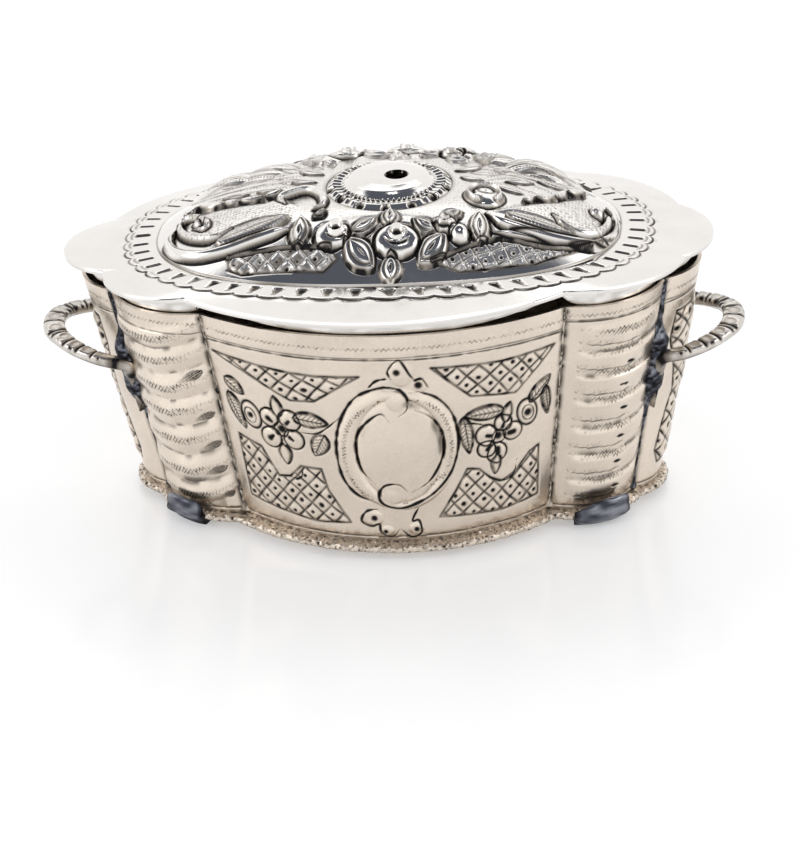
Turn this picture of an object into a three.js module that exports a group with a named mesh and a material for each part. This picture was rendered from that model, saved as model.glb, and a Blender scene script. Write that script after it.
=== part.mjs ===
// Lidded silver box with a lobed oval plan, two strap handles and a domed lift-off lid.
// Millimetres, +Z up, origin on the table under the middle of the box, front of the box facing -Y.
import * as THREE from 'three';

// Overall driving dimensions
const HANDLE_SPAN = 160.8; // across the outside of both handles
const MOUTH = { endX: 70.3, frontY: 39.9, cornerX: 39.9, cornerY: 27.0, sideX: 61.7, sideY: 13.9 };
const LOBE_RISE = 4.8; // how far each corner lobe of the mouth bows out from its chord
const MOUTH_TILT = 1.6 / 70; // the handmade mouth rises towards +X by this slope

// Outlines beaten by hand, so not quite even: the notches between the eight lobes, anticlockwise from
// the front left, and how far the lobe after each notch bows out from its chord
const FOOT_LOBES = [
  { x: -33.2, y: -21.2, rise: 14.0 },
  { x: 36.2, y: -18.6, rise: 4.2 },
  { x: 55.3, y: -9.8, rise: 6.8 },
  { x: 55.3, y: 9.8, rise: 4.2 },
  { x: 36.2, y: 20.0, rise: 13.6 },
  { x: -33.2, y: 21.2, rise: 4.2 },
  { x: -52.3, y: 9.8, rise: 7.2 },
  { x: -52.3, y: -9.8, rise: 4.2 },
];
const FLANGE_LOBES = [
  { x: -42.5, y: -30.7, rise: 14.4 },
  { x: 39.7, y: -31.4, rise: 5.7 },
  { x: 65.9, y: -14.4, rise: 7.1 },
  { x: 65.4, y: 14.3, rise: 4.4 },
  { x: 42.5, y: 33.9, rise: 11.7 },
  { x: -43.2, y: 33.2, rise: 3.1 },
  { x: -64.6, y: 11.6, rise: 9.9 },
  { x: -62.6, y: -16.1, rise: 5.8 },
];

// What stands over each of the eight lobes
const PANEL = 0;
const COLUMN = 1;
const END = 2;
const KINDS = [PANEL, COLUMN, END, COLUMN, PANEL, COLUMN, END, COLUMN]; // of the eight sides

// Heights
const PLATE_BOTTOM = 1.8;
const PLATE_THICKNESS = 1.4;
const WALL_BOTTOM = PLATE_BOTTOM + PLATE_THICKNESS;
const WALL_HEIGHT = 54.2;
const RIM = WALL_BOTTOM + WALL_HEIGHT;
const FLANGE_GAP = 4.9; // the lid stands proud of the rim on its collar
const SHEET = 0.8; // silver sheet
const FLANGE_TOP = RIM + FLANGE_GAP + SHEET;
const SEAM_GAP = 0.3;

const silver = (name, color, roughness) => {
  const material = new THREE.MeshStandardMaterial({ color, roughness, metalness: 1 });
  material.name = name;
  return material;
};
const wallSilver = silver('wall_silver', 0xd8d2c8, 0.34);
const lidSilver = silver('lid_silver', 0xe2dfda, 0.22);
const handleSilver = silver('handle_silver', 0xcfcac3, 0.32);
const darkSilver = silver('dark_silver', 0x6d6c6d, 0.42);

const group = new THREE.Group();
function add(name, geometry, material) {
  geometry.computeVertexNormals();
  const mesh = new THREE.Mesh(geometry, material);
  mesh.name = name;
  group.add(mesh);
  return mesh;
}

// A point and outward normal at share u of the arc that bows out by rise between two plan points.
// Going from start to end, the outside is on the right.
function arc({ start, end, rise }, u) {
  const chord = new THREE.Vector2().subVectors(end, start);
  const half = chord.length() / 2;
  const radius = (half * half + rise * rise) / (2 * rise);
  const out = new THREE.Vector2(chord.y, -chord.x).normalize();
  const centre = new THREE.Vector2().addVectors(start, end).multiplyScalar(0.5);
  centre.addScaledVector(out, rise - radius);
  const turn = Math.asin(half / radius) * (2 * u - 1);
  const normal = out.clone().rotateAround(new THREE.Vector2(), turn);
  const length = radius * 2 * Math.asin(half / radius);
  return { point: centre.clone().addScaledVector(normal, radius), normal, length };
}

// The arcs of a lobed outline, from its notches in order
function lobedArcs(notches) {
  const corners = notches.map(({ x, y }) => new THREE.Vector2(x, y));
  return notches.map(({ rise }, i) => ({ start: corners[i], end: corners[(i + 1) % corners.length], rise }));
}

// The mouth is even: the same quarter four times over
function mouthLobes({ endX, frontY, cornerX, cornerY, sideX, sideY }) {
  const panelRise = frontY - cornerY;
  const endRise = endX - sideX;
  return [
    { x: -cornerX, y: -cornerY, rise: panelRise },
    { x: cornerX, y: -cornerY, rise: LOBE_RISE },
    { x: sideX, y: -sideY, rise: endRise },
    { x: sideX, y: sideY, rise: LOBE_RISE },
    { x: cornerX, y: cornerY, rise: panelRise },
    { x: -cornerX, y: cornerY, rise: LOBE_RISE },
    { x: -sideX, y: sideY, rise: endRise },
    { x: -sideX, y: -sideY, rise: LOBE_RISE },
  ];
}
const mouthArcs = lobedArcs(mouthLobes(MOUTH));
const footArcs = lobedArcs(FOOT_LOBES);

// A wall is ruled between its foot arc and its mouth arc: the point at share u along them and wall
// fraction t, from 0 at the foot to 1 at the rim, with its outward normal in plan
function onWall(side, u, t) {
  const mouth = arc(mouthArcs[side], u);
  const foot = arc(footArcs[side], u);
  const { x, y } = foot.point.lerp(mouth.point, t);
  const normal = foot.normal.lerp(mouth.normal, t).normalize();
  const z = WALL_BOTTOM + t * (WALL_HEIGHT + MOUTH_TILT * mouth.point.x);
  return { point: new THREE.Vector3(x, y, z), normal: new THREE.Vector3(normal.x, normal.y, 0) };
}

// A closed sheet between an outer and an inner grid of points, open or joined round its first direction.
function sheet(columns, rows, outer, inner, ring = false) {
  const positions = [];
  const index = [];
  const lines = ring ? columns : columns + 1;
  for (const side of [outer, inner]) {
    for (let i = 0; i < lines; i++) {
      for (let j = 0; j <= rows; j++) positions.push(...side(i / columns, j / rows).toArray());
    }
  }
  const at = (side, i, j) => side * lines * (rows + 1) + (i % lines) * (rows + 1) + j;
  const quad = (a, b, c, d) => index.push(a, b, c, a, c, d);
  for (let i = 0; i < columns; i++) {
    for (let j = 0; j < rows; j++) {
      quad(at(0, i, j), at(0, i + 1, j), at(0, i + 1, j + 1), at(0, i, j + 1));
      quad(at(1, i, j), at(1, i, j + 1), at(1, i + 1, j + 1), at(1, i + 1, j));
    }
    quad(at(0, i, 0), at(1, i, 0), at(1, i + 1, 0), at(0, i + 1, 0));
    quad(at(0, i, rows), at(0, i + 1, rows), at(1, i + 1, rows), at(1, i, rows));
  }
  for (let j = 0; j < rows && !ring; j++) {
    quad(at(0, 0, j), at(0, 0, j + 1), at(1, 0, j + 1), at(1, 0, j));
    quad(at(0, columns, j), at(1, columns, j), at(1, columns, j + 1), at(0, columns, j + 1));
  }
  const geometry = new THREE.BufferGeometry();
  geometry.setAttribute('position', new THREE.Float32BufferAttribute(positions, 3));
  geometry.setIndex(index);
  return geometry;
}

// One wall of the box: a bowed sheet whose raised work stands out by relief(along, height).
function wall(name, side, columns, rows, relief) {
  const length = arc(mouthArcs[side], 0).length;
  const trim = SEAM_GAP / 2 / arc(footArcs[side], 0).length;
  const surface = (depth) => (u, t) => {
    const { point, normal } = onWall(side, trim + (1 - 2 * trim) * u, t);
    return point.addScaledVector(normal, relief((u - 0.5) * length, t * WALL_HEIGHT, u) - depth);
  };
  add(name, sheet(columns, rows, surface(0), surface(SHEET)), wallSilver);
}

const smooth = (low, high, value) => THREE.MathUtils.smoothstep(value, low, high);

// Front and back: an oval cushion inside a raised scroll frame
const MEDALLION = {
  along: 2.5, height: 25.0, halfWidth: 14.5, halfHeight: 15.8, cushion: 0.72, lift: 1.5, frame: 0.8,
};
function medallion(along, height) {
  const { halfWidth, halfHeight, cushion, lift, frame } = MEDALLION;
  const reach = Math.hypot((along - MEDALLION.along) / halfWidth, (height - MEDALLION.height) / halfHeight);
  if (reach < cushion) return lift * Math.sqrt(1 - (reach / cushion) ** 2);
  return reach < 1 ? frame * Math.sin((Math.PI * (reach - cushion)) / (1 - cushion)) : 0;
}

// Corner columns: seven round flutes across, under a plain rim band
const FLUTE = { pitch: 6.9, depth: 0.8, top: 50.6, edge: 0.1 };
function flutes(along, height, u) {
  const wave = 0.5 - 0.5 * Math.cos((2 * Math.PI * (FLUTE.top - height)) / FLUTE.pitch);
  const fade = smooth(0, FLUTE.edge, u) * smooth(0, FLUTE.edge, 1 - u);
  return FLUTE.depth * wave * fade * smooth(0, 2, FLUTE.top - height) * smooth(0, 2, height - 1);
}

// End panels: a soft embossed field inside a plain margin
const FIELD = { halfWidth: 11.5, low: 5, high: 44, lift: 0.6 };
function field(along, height) {
  const inside = smooth(0, 3, FIELD.halfWidth - Math.abs(along));
  return FIELD.lift * inside * smooth(0, 4, height - FIELD.low) * smooth(0, 4, FIELD.high - height);
}

wall('front_panel', 0, 20, 11, medallion);
wall('column_front_right', 1, 6, 21, flutes);
wall('end_panel_right', 2, 8, 6, field);
wall('column_back_right', 3, 6, 21, flutes);
wall('back_panel', 4, 20, 11, medallion);
wall('column_back_left', 5, 6, 21, flutes);
wall('end_panel_left', 6, 8, 6, field);
wall('column_front_left', 7, 6, 21, flutes);

// Base plate: a flat sheet that follows the foot of the walls and stands out like a step all round
const PLATE_LIP = { [PANEL]: 3.0, [COLUMN]: 2.2, [END]: 1.6 };
const PLATE_STEPS = { [PANEL]: 12, [COLUMN]: 6, [END]: 8 };
const plateOutline = footArcs.flatMap((lobe, side) => {
  const steps = PLATE_STEPS[KINDS[side]];
  return Array.from({ length: steps }, (_, i) => {
    const { point, normal } = arc(lobe, (i + 0.5) / steps);
    return point.addScaledVector(normal, PLATE_LIP[KINDS[side]]);
  });
});
const plate = new THREE.ExtrudeGeometry(new THREE.Shape(plateOutline), {
  depth: PLATE_THICKNESS,
  bevelEnabled: false,
});
add('base_plate', plate, wallSilver).position.z = PLATE_BOTTOM;

// Feet: folded lugs that hook under the plate and turn up outside it. Each follows the outer half of a
// column's foot, from the end panel's seam to the column's middle.
const FOOT = { under: 4.0, clear: 0.35, thickness: 1.1, top: 5.4, toe: 0.6, bends: 6, near: 0.03, far: 0.56 };
const footInner = PLATE_LIP[COLUMN] + FOOT.clear;
const footOuter = footInner + FOOT.thickness;
const footProfile = new THREE.Shape([
  new THREE.Vector2(-FOOT.under, 0),
  new THREE.Vector2(footOuter - FOOT.toe, 0),
  new THREE.Vector2(footOuter, FOOT.toe),
  new THREE.Vector2(footOuter, FOOT.top - FOOT.toe),
  new THREE.Vector2(footInner, FOOT.top),
  new THREE.Vector2(footInner, PLATE_BOTTOM - FOOT.clear),
  new THREE.Vector2(-FOOT.under, PLATE_BOTTOM - FOOT.clear),
]);
const COLUMN_SIDES = { front_right: 1, back_right: 3, back_left: 5, front_left: 7 };
for (const [corner, side] of Object.entries(COLUMN_SIDES)) {
  const endsAtEndPanel = KINDS[(side + 1) % KINDS.length] === END;
  const [from, to] = endsAtEndPanel ? [1 - FOOT.near, 1 - FOOT.far] : [FOOT.far, FOOT.near];
  const lug = new THREE.ExtrudeGeometry(footProfile, { depth: 1, steps: FOOT.bends, bevelEnabled: false });
  const places = lug.attributes.position;
  for (let i = 0; i < places.count; i++) {
    const { point, normal } = arc(footArcs[side], THREE.MathUtils.lerp(from, to, places.getZ(i)));
    point.addScaledVector(normal, places.getX(i));
    places.setXYZ(i, point.x, point.y, places.getY(i));
  }
  add(`foot_${corner}`, lug, darkSilver);
}

// Handles: a flat strap bent into a loop, both tails running down the seams beside the end panel
const STRAP = { width: 4.8, rootWidth: 2.6, thickness: 1.5, bevel: 0.4 };
const HANDLE = { root: 0.66, tail: 0.42, bend: 0.6, lift: 3.6, stand: 1.9 };
const strapReach = (HANDLE_SPAN - STRAP.width) / 2;
const seamPoint = (right, t) => onWall(right > 0 ? 1 : 6, 1, t).point;
const seamOut = new THREE.Vector2(0.76, -0.65);

// One half of the loop, from the foot of the front tail out to the middle of the grip.
function handleHalf(right) {
  const beside = (t, out) => {
    const p = seamPoint(right, t);
    return new THREE.Vector3(p.x + right * seamOut.x * out, p.y + seamOut.y * out, p.z);
  };
  const root = seamPoint(right, HANDLE.root);
  const out = (share, y, lift) => {
    const x = root.x + (right * strapReach - root.x) * share;
    return new THREE.Vector3(x, y, root.z + HANDLE.lift * lift);
  };
  return {
    points: [
      beside(HANDLE.tail, HANDLE.stand),
      beside((HANDLE.tail + HANDLE.bend) / 2, HANDLE.stand),
      beside(HANDLE.bend, HANDLE.stand),
      beside(HANDLE.root, HANDLE.stand + 1.2),
      out(0.38, -14.2, 0.3),
      out(0.72, -10.4, 0.65),
      out(0.94, -5.4, 0.92),
      out(1, 0, 1),
    ],
    headings: [-40, -40, -40, -32, 2, 33, 63, 90],
    widths: [0, 0.05, 0.1, 0.15, 0.25, 0.6, 0.95, 1],
  };
}

function handle(name, right) {
  const half = handleHalf(right);
  const mirrored = half.points.slice(0, -1).reverse();
  const points = [...half.points, ...mirrored.map((p) => new THREE.Vector3(p.x, -p.y, p.z))];
  const headings = [...half.headings, ...half.headings.slice(0, -1).reverse().map((a) => 180 - a)];
  const widths = [...half.widths, ...half.widths.slice(0, -1).reverse()];
  const path = new THREE.CatmullRomCurve3(points, false, 'centripetal');
  const between = (list, u) => {
    const place = u * (list.length - 1);
    const low = Math.min(Math.floor(place), list.length - 2);
    return THREE.MathUtils.lerp(list[low], list[low + 1], place - low);
  };
  const STATIONS = 34;
  const rings = [];
  for (let k = 0; k <= STATIONS; k++) {
    const u = k / STATIONS;
    const centre = path.getPoint(u);
    const along = path.getTangent(u);
    const angle = THREE.MathUtils.degToRad(between(headings, u));
    const across = new THREE.Vector3(-right * Math.sin(angle), Math.cos(angle), 0);
    across.addScaledVector(along, -across.dot(along)).normalize();
    const up = new THREE.Vector3().crossVectors(along, across).multiplyScalar(right).normalize();
    const w = THREE.MathUtils.lerp(STRAP.rootWidth, STRAP.width, between(widths, u)) / 2;
    const h = STRAP.thickness / 2;
    const b = STRAP.bevel;
    const lower = [[-w, -h + b], [-w + b, -h], [w - b, -h], [w, -h + b]];
    const section = [...lower, ...lower.map(([s, r]) => [-s, -r])];
    rings.push(section.map(([s, r]) => centre.clone().addScaledVector(across, s).addScaledVector(up, r)));
  }
  const sides = rings[0].length;
  const positions = rings.flat().flatMap((p) => p.toArray());
  const index = [];
  const face = (a, b, c) => (right > 0 ? index.push(a, b, c) : index.push(a, c, b));
  for (let k = 0; k < STATIONS; k++) {
    for (let s = 0; s < sides; s++) {
      const a = k * sides + s;
      const b = k * sides + ((s + 1) % sides);
      face(a, b, b + sides);
      face(a, b + sides, a + sides);
    }
  }
  for (let s = 1; s < sides - 1; s++) {
    const last = STATIONS * sides;
    face(0, s + 1, s);
    face(last, last + s, last + s + 1);
  }
  const geometry = new THREE.BufferGeometry();
  geometry.setAttribute('position', new THREE.Float32BufferAttribute(positions, 3));
  geometry.setIndex(index);
  add(name, geometry, handleSilver);
}
handle('handle_right', 1);
handle('handle_left', -1);

// Lid: a lobed flange, a flat scalloped ring, a cove and a domed middle with a boss, raised from one sheet
const RING = { outX: 60.0, outY: 34.5, inX: 52.0, inY: 28.7, crest: 0.45, square: 0.167 };
const DOME = { rise: 12.2, foot: 0.5, curve: 2.05, skew: 0.8 };
const BOSS = { lip: 14.2, crest: 12.6, groove: 10.6, disc: 9.3, offX: 0.5 };
const HOLE = { radius: 2.7, middle: new THREE.Vector2(2.3, -0.9) }; // it held the finial
const FLANGE_STEPS = { [PANEL]: 20, [COLUMN]: 8, [END]: 12 };
const flangeOutline = lobedArcs(FLANGE_LOBES).flatMap((lobe, side) => {
  const steps = FLANGE_STEPS[KINDS[side]];
  return Array.from({ length: steps }, (_, i) => arc(lobe, i / steps).point);
});
const FLANGE_POINTS = flangeOutline.length;

// Raised work on the dome. Mounds are flowers, leaves and the fullness behind the wings.
const MOUNDS = [
  { x: 3.4, y: -21.4, halfX: 5.2, halfY: 3.6, lift: 2.2 },
  { x: -10.8, y: -19.4, halfX: 4.4, halfY: 3.4, lift: 2.0 },
  { x: -18.2, y: -17.8, halfX: 3.0, halfY: 4.2, lift: 1.9 },
  { x: -4.8, y: -23.8, halfX: 4.2, halfY: 3.2, lift: 1.7 },
  { x: 11.2, y: -22.4, halfX: 4.2, halfY: 3.2, lift: 1.7 },
  { x: 16.8, y: -19.4, halfX: 2.8, halfY: 2.6, lift: 2.0 },
  { x: 21.3, y: -16.4, halfX: 3.0, halfY: 4.4, lift: 1.9 },
  { x: 21.9, y: -6.2, halfX: 4.8, halfY: 4.6, lift: 1.9 },
  { x: -28.2, y: -15.2, halfX: 7.5, halfY: 3.4, lift: 1.9 },
  { x: 35.5, y: -13.4, halfX: 7.0, halfY: 3.0, lift: 1.8 },
  { x: -38.0, y: 15.0, halfX: 7.0, halfY: 5.0, lift: 2.7 },
  { x: -30.5, y: 15.5, halfX: 6.0, halfY: 5.0, lift: 1.9 },
  { x: -16.0, y: 19.0, halfX: 6.0, halfY: 4.2, lift: 1.7 },
  { x: 0.5, y: 20.0, halfX: 4.6, halfY: 3.8, lift: 2.3 },
  { x: 15.5, y: 19.0, halfX: 6.0, halfY: 4.4, lift: 3.3 },
  { x: 24.5, y: 18.0, halfX: 5.0, halfY: 4.6, lift: 2.4 },
  { x: 34.5, y: 15.0, halfX: 8.0, halfY: 5.4, lift: 3.2 },
];
// Bars are the rolled scrolls of the wings and the edging of their feathers: half their width, lift
// and plan points.
const BARS = [
  { half: 2.3, lift: 1.9,
    line: [[-20.2, -16.3], [-29.2, -17.9], [-40.6, -18.0], [-47.4, -12.6], [-48.0, -5.7]] },
  { half: 2.2, lift: 2.1,
    line: [[-33.6, -12.9], [-41.1, -12.6], [-46.0, -5.4], [-42.1, -4.9], [-40.3, -9.4]] },
  { half: 2.0, lift: 1.7,
    line: [[-46.3, -0.2], [-36.6, -1.8], [-23.2, -1.9], [-21.2, -4.4]] },
  { half: 2.2, lift: 1.8,
    line: [[-22.0, -8.0], [-22.4, -4.4], [-17.3, -3.0], [-13.8, -9.4]] },
  { half: 2.3, lift: 1.9,
    line: [[22.6, -12.5], [37.4, -16.3], [46.9, -14.5], [51.0, -5.7], [48.9, 2.7]] },
  { half: 2.2, lift: 2.0,
    line: [[37.1, -9.1], [42.4, -12.2], [47.6, -8.6], [47.3, -3.1]] },
  { half: 2.0, lift: 1.7,
    line: [[26.4, -5.2], [33.1, -4.3], [37.6, -2.2], [40.0, 2.7], [44.3, 5.5]] },
];
function raised(x, y) {
  const place = new THREE.Vector3(x, y, 0);
  const nearest = new THREE.Vector3();
  const vector = (corner) => new THREE.Vector3(...corner, 0);
  let lift = 0;
  for (const mound of MOUNDS) {
    const reach = Math.hypot((x - mound.x) / mound.halfX, (y - mound.y) / mound.halfY);
    lift = Math.max(lift, mound.lift * Math.sqrt(Math.max(0, 1 - reach ** 2)));
  }
  for (const bar of BARS) {
    for (let i = 1; i < bar.line.length; i++) {
      const span = new THREE.Line3(vector(bar.line[i - 1]), vector(bar.line[i]));
      span.closestPointToPoint(place, true, nearest);
      const reach = nearest.distanceTo(place) / bar.half;
      lift = Math.max(lift, bar.lift * Math.sqrt(Math.max(0, 1 - reach ** 2)));
    }
  }
  return lift;
}

// Lid stations from the flange edge inwards. Outlines turn from a squarish oval at the ring to the
// boss's circle, and the dome rises by a power of the share of the way, fuller at the back.
const DOME_ROWS = 11;
function oval(angle, a, b, square) {
  const stretch = (value) => Math.sign(value) * Math.abs(value) ** (1 - square);
  return new THREE.Vector2(a * stretch(Math.cos(angle)), b * stretch(Math.sin(angle)));
}
function lidPoint(edge, row) {
  const angle = Math.atan2(edge.y / RING.outY, edge.x / RING.outX);
  const { lip, crest, groove, disc, offX } = BOSS;
  const domeTop = FLANGE_TOP + DOME.rise;
  const circle = (r, z) => new THREE.Vector3(offX + r * Math.cos(angle), r * Math.sin(angle), z);
  const flat = (p, z) => new THREE.Vector3(p.x, p.y, z);
  const band = (inward) => {
    const width = { x: RING.outX - RING.inX, y: RING.outY - RING.inY };
    return oval(angle, RING.outX - inward * width.x, RING.outY - inward * width.y, RING.square);
  };
  const ring = [
    () => flat(edge, FLANGE_TOP),
    () => flat(band(0).lerp(edge, 0.5), FLANGE_TOP),
    () => flat(band(0), FLANGE_TOP + 0.1),
    () => flat(band(0.2), FLANGE_TOP + RING.crest),
    () => flat(band(0.85), FLANGE_TOP + RING.crest),
  ];
  const boss = [
    () => circle(lip, domeTop + 0.4),
    () => circle(crest, domeTop + 1.4),
    () => circle(groove, domeTop + 0.8),
    () => circle(disc, domeTop + 1.7),
    () => circle(disc * 0.65, domeTop + 2.5),
    () => flat(oval(angle, HOLE.radius, HOLE.radius, 0).add(HOLE.middle), domeTop + 2.8),
  ];
  if (row < ring.length) return ring[row]();
  if (row >= ring.length + DOME_ROWS) return boss[row - ring.length - DOME_ROWS]();
  const share = 1 - (row - ring.length) / DOME_ROWS;
  const p = oval(angle, lip + (RING.inX - lip) * share, lip + (RING.inY - lip) * share, RING.square * share);
  p.x += offX * (1 - share);
  const curve = DOME.curve + DOME.skew * Math.sin(angle);
  const z = FLANGE_TOP + DOME.foot + (DOME.rise - DOME.foot) * (1 - share ** curve);
  return flat(p, z + smooth(0, 0.08, share) * smooth(0, 0.08, 1 - share) * raised(p.x, p.y));
}
const LID_ROWS = 5 + DOME_ROWS + 5;
const lidSurface = (depth) => (u, v) => {
  const edge = flangeOutline[Math.round(u * FLANGE_POINTS) % FLANGE_POINTS];
  const p = lidPoint(edge, Math.round(v * LID_ROWS));
  return new THREE.Vector3(p.x, p.y, p.z + MOUTH_TILT * p.x - depth);
};
add('lid', sheet(FLANGE_POINTS, LID_ROWS, lidSurface(0), lidSurface(SHEET), true), lidSilver);

// Collar: an upright strip under the flange that drops inside the mouth, its lower edge hand cut
const COLLAR = { thickness: 0.7, clear: 0.45, dip: 0.8, cut: 3.2, lobeCut: 1.4, endDrop: 2.0 };
const COLLAR_STEPS = { [PANEL]: 14, [COLUMN]: 5, [END]: 8 };
const collarLine = mouthArcs.flatMap((lobe, side) => {
  const kind = KINDS[side];
  const steps = COLLAR_STEPS[kind];
  return Array.from({ length: steps }, (_, i) => {
    const u = (i + 0.5) / steps;
    const away = Math.abs(2 * u - 1);
    const cuts = {
      [PANEL]: COLLAR.cut * away ** 1.5,
      [COLUMN]: COLLAR.lobeCut * away ** 2,
      [END]: COLLAR.cut - COLLAR.endDrop * away,
    };
    return { ...arc(lobe, u), low: RIM - COLLAR.dip + cuts[kind] };
  });
});
const collarSurface = (depth) => (u, v) => {
  const { point, normal, low } = collarLine[Math.round(u * collarLine.length) % collarLine.length];
  const p = point.clone().addScaledVector(normal, -SHEET - COLLAR.clear - depth);
  const z = THREE.MathUtils.lerp(low, FLANGE_TOP - SHEET, v);
  return new THREE.Vector3(p.x, p.y, z + MOUTH_TILT * p.x);
};
const collar = sheet(collarLine.length, 1, collarSurface(0), collarSurface(COLLAR.thickness), true);
add('lid_collar', collar, lidSilver);

export default group;
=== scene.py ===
"""Lidded silver box: a lobed oval body with chased panels, fluted corner columns and strap handles,
under a lift-off lid with a scalloped ring, rocaille wings, flower festoons and a boss.

Every new piece is a surface worked out with numpy in millimetres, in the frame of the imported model.
"""

import math

import bpy
import numpy as np
from mathutils import Matrix, Vector


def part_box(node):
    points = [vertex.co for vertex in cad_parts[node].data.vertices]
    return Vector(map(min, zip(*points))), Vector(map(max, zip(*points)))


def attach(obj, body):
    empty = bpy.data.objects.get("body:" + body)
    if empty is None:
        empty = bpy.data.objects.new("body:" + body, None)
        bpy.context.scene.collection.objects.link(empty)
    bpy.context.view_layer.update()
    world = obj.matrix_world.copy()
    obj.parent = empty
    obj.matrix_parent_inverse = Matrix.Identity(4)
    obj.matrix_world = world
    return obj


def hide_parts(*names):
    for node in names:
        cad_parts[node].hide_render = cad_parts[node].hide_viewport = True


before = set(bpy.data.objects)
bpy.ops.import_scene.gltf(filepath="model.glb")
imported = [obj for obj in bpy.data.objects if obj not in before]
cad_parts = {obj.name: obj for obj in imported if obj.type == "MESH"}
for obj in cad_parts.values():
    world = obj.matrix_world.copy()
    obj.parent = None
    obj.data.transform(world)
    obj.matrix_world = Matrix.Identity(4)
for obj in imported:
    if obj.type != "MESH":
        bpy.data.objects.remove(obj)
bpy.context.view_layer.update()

bl_info = {
    "name": "Lidded Silver Box",
    "version": (1, 0, 0),
    "blender": (4, 5, 0),
    "location": "3D View > Sidebar > Silver Box",
    "description": "Builds the looks of a chased silver box around its solid model",
    "category": "Add Mesh",
}

MM = 0.001
PHOTO_SIDE = 847  # the photograph's longer side in pixels
WALL_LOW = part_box("front_panel")[0].z
PLATE_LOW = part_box("base_plate")[0].z
HANDLE_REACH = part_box("handle_right")[1].x


# Outlines beaten by hand, so not quite even. Each entry is a notch between two of the eight lobes,
# anticlockwise from the front left: its plan place, and how far the lobe after it bows out from its chord
FOOT_LOBES = (
    (-0.0332, -0.0212, 0.0140), (0.0362, -0.0186, 0.0042), (0.0553, -0.0098, 0.0068),
    (0.0553, 0.0098, 0.0042), (0.0362, 0.0200, 0.0136), (-0.0332, 0.0212, 0.0042), (-0.0523, 0.0098, 0.0072),
    (-0.0523, -0.0098, 0.0042),
)
FLANGE_LOBES = (
    (-0.0425, -0.0307, 0.0144), (0.0397, -0.0314, 0.0057), (0.0659, -0.0144, 0.0071),
    (0.0654, 0.0143, 0.0044), (0.0425, 0.0339, 0.0117), (-0.0432, 0.0332, 0.0031), (-0.0646, 0.0116, 0.0099),
    (-0.0626, -0.0161, 0.0058),
)


class BodySizes(bpy.types.PropertyGroup):
    """Sizes of the box under the lid."""

    end_x: bpy.props.FloatProperty(
        name="Mouth end", description="Middle to the mouth's end", default=0.0703, unit="LENGTH"
    )
    front_y: bpy.props.FloatProperty(
        name="Mouth front", description="Middle to the mouth's front", default=0.0399, unit="LENGTH"
    )
    corner: bpy.props.FloatVectorProperty(
        name="Panel corner", description="Where a long panel meets a column, in plan",
        size=2, default=(0.0399, 0.0270), unit="LENGTH",
    )
    side: bpy.props.FloatVectorProperty(
        name="Column corner", description="Where a column meets an end panel, in plan",
        size=2, default=(0.0617, 0.0139), unit="LENGTH",
    )
    lobe: bpy.props.FloatProperty(
        name="Lobe rise", description="How far a column bows out of its chord", default=0.0048, unit="LENGTH"
    )
    foot: bpy.props.FloatVectorProperty(
        name="Foot outline", description="Notches of the walls' foot and the rise of the lobe after each",
        size=(8, 3), default=FOOT_LOBES, unit="LENGTH",
    )
    low: bpy.props.FloatProperty(
        name="Wall foot", description="Height of the walls' lower edge", default=WALL_LOW, unit="LENGTH"
    )
    height: bpy.props.FloatProperty(
        name="Wall height", description="Height of the walls", default=0.0542, unit="LENGTH"
    )
    tilt: bpy.props.FloatProperty(
        name="Mouth tilt", description="Rise of the mouth for each length to the right", default=1.6 / 70
    )
    sheet: bpy.props.FloatProperty(
        name="Sheet", description="Thickness of the silver sheet", default=0.0008, unit="LENGTH"
    )
    plate: bpy.props.FloatVectorProperty(
        name="Plate ledge", description="How far the plate stands out under panels, columns and end panels",
        size=3, default=(0.0030, 0.0022, 0.0016), unit="LENGTH",
    )


class LidSizes(bpy.types.PropertyGroup):
    """Sizes of the lid."""

    flange: bpy.props.FloatVectorProperty(
        name="Flange outline", description="Notches of the flange and the rise of the lobe after each",
        size=(8, 3), default=FLANGE_LOBES, unit="LENGTH",
    )
    top: bpy.props.FloatProperty(
        name="Flange top", description="Height of the flange", default=0.0631, unit="LENGTH"
    )
    ring: bpy.props.FloatVectorProperty(
        name="Ring", description="Half axes of the scalloped ring's outer edge", size=2,
        default=(0.0600, 0.0352), unit="LENGTH",
    )
    cove: bpy.props.FloatVectorProperty(
        name="Cove", description="Half axes of the ring's inner edge, where the cove starts", size=2,
        default=(0.0520, 0.0296), unit="LENGTH",
    )
    square: bpy.props.FloatProperty(
        name="Squareness", description="How far the ring's oval fills its corners", default=0.167,
        subtype="FACTOR",
    )
    dome: bpy.props.FloatProperty(
        name="Dome rise", description="Rise from the flange to the boss", default=0.0122, unit="LENGTH"
    )
    lip: bpy.props.FloatProperty(
        name="Boss lip", description="Radius of the boss's lip", default=0.0142, unit="LENGTH"
    )
    hole: bpy.props.FloatProperty(
        name="Finial hole", description="Radius of the finial's hole", default=0.0027, unit="LENGTH"
    )
    rise: bpy.props.FloatVectorProperty(
        name="Rise", description="Rise of the brim from its edge to the ring, and of the cove above that",
        size=2, default=(0.0008, 0.0006), unit="LENGTH",
    )
    scallops: bpy.props.IntProperty(name="Scallops", description="Scallops round the ring", default=59)


class HandleSizes(bpy.types.PropertyGroup):
    """Sizes of the strap handles."""

    reach: bpy.props.FloatProperty(
        name="Reach", description="Middle of the box to a handle's outside", default=HANDLE_REACH,
        unit="LENGTH",
    )
    grip: bpy.props.FloatProperty(
        name="Grip width", description="Width of the strap at the grip", default=0.0050, unit="LENGTH"
    )
    root: bpy.props.FloatProperty(
        name="Root width", description="Width of the strap at its tails", default=0.0030, unit="LENGTH"
    )
    thickness: bpy.props.FloatProperty(
        name="Thickness", description="Thickness of the strap", default=0.0028, unit="LENGTH"
    )


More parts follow.
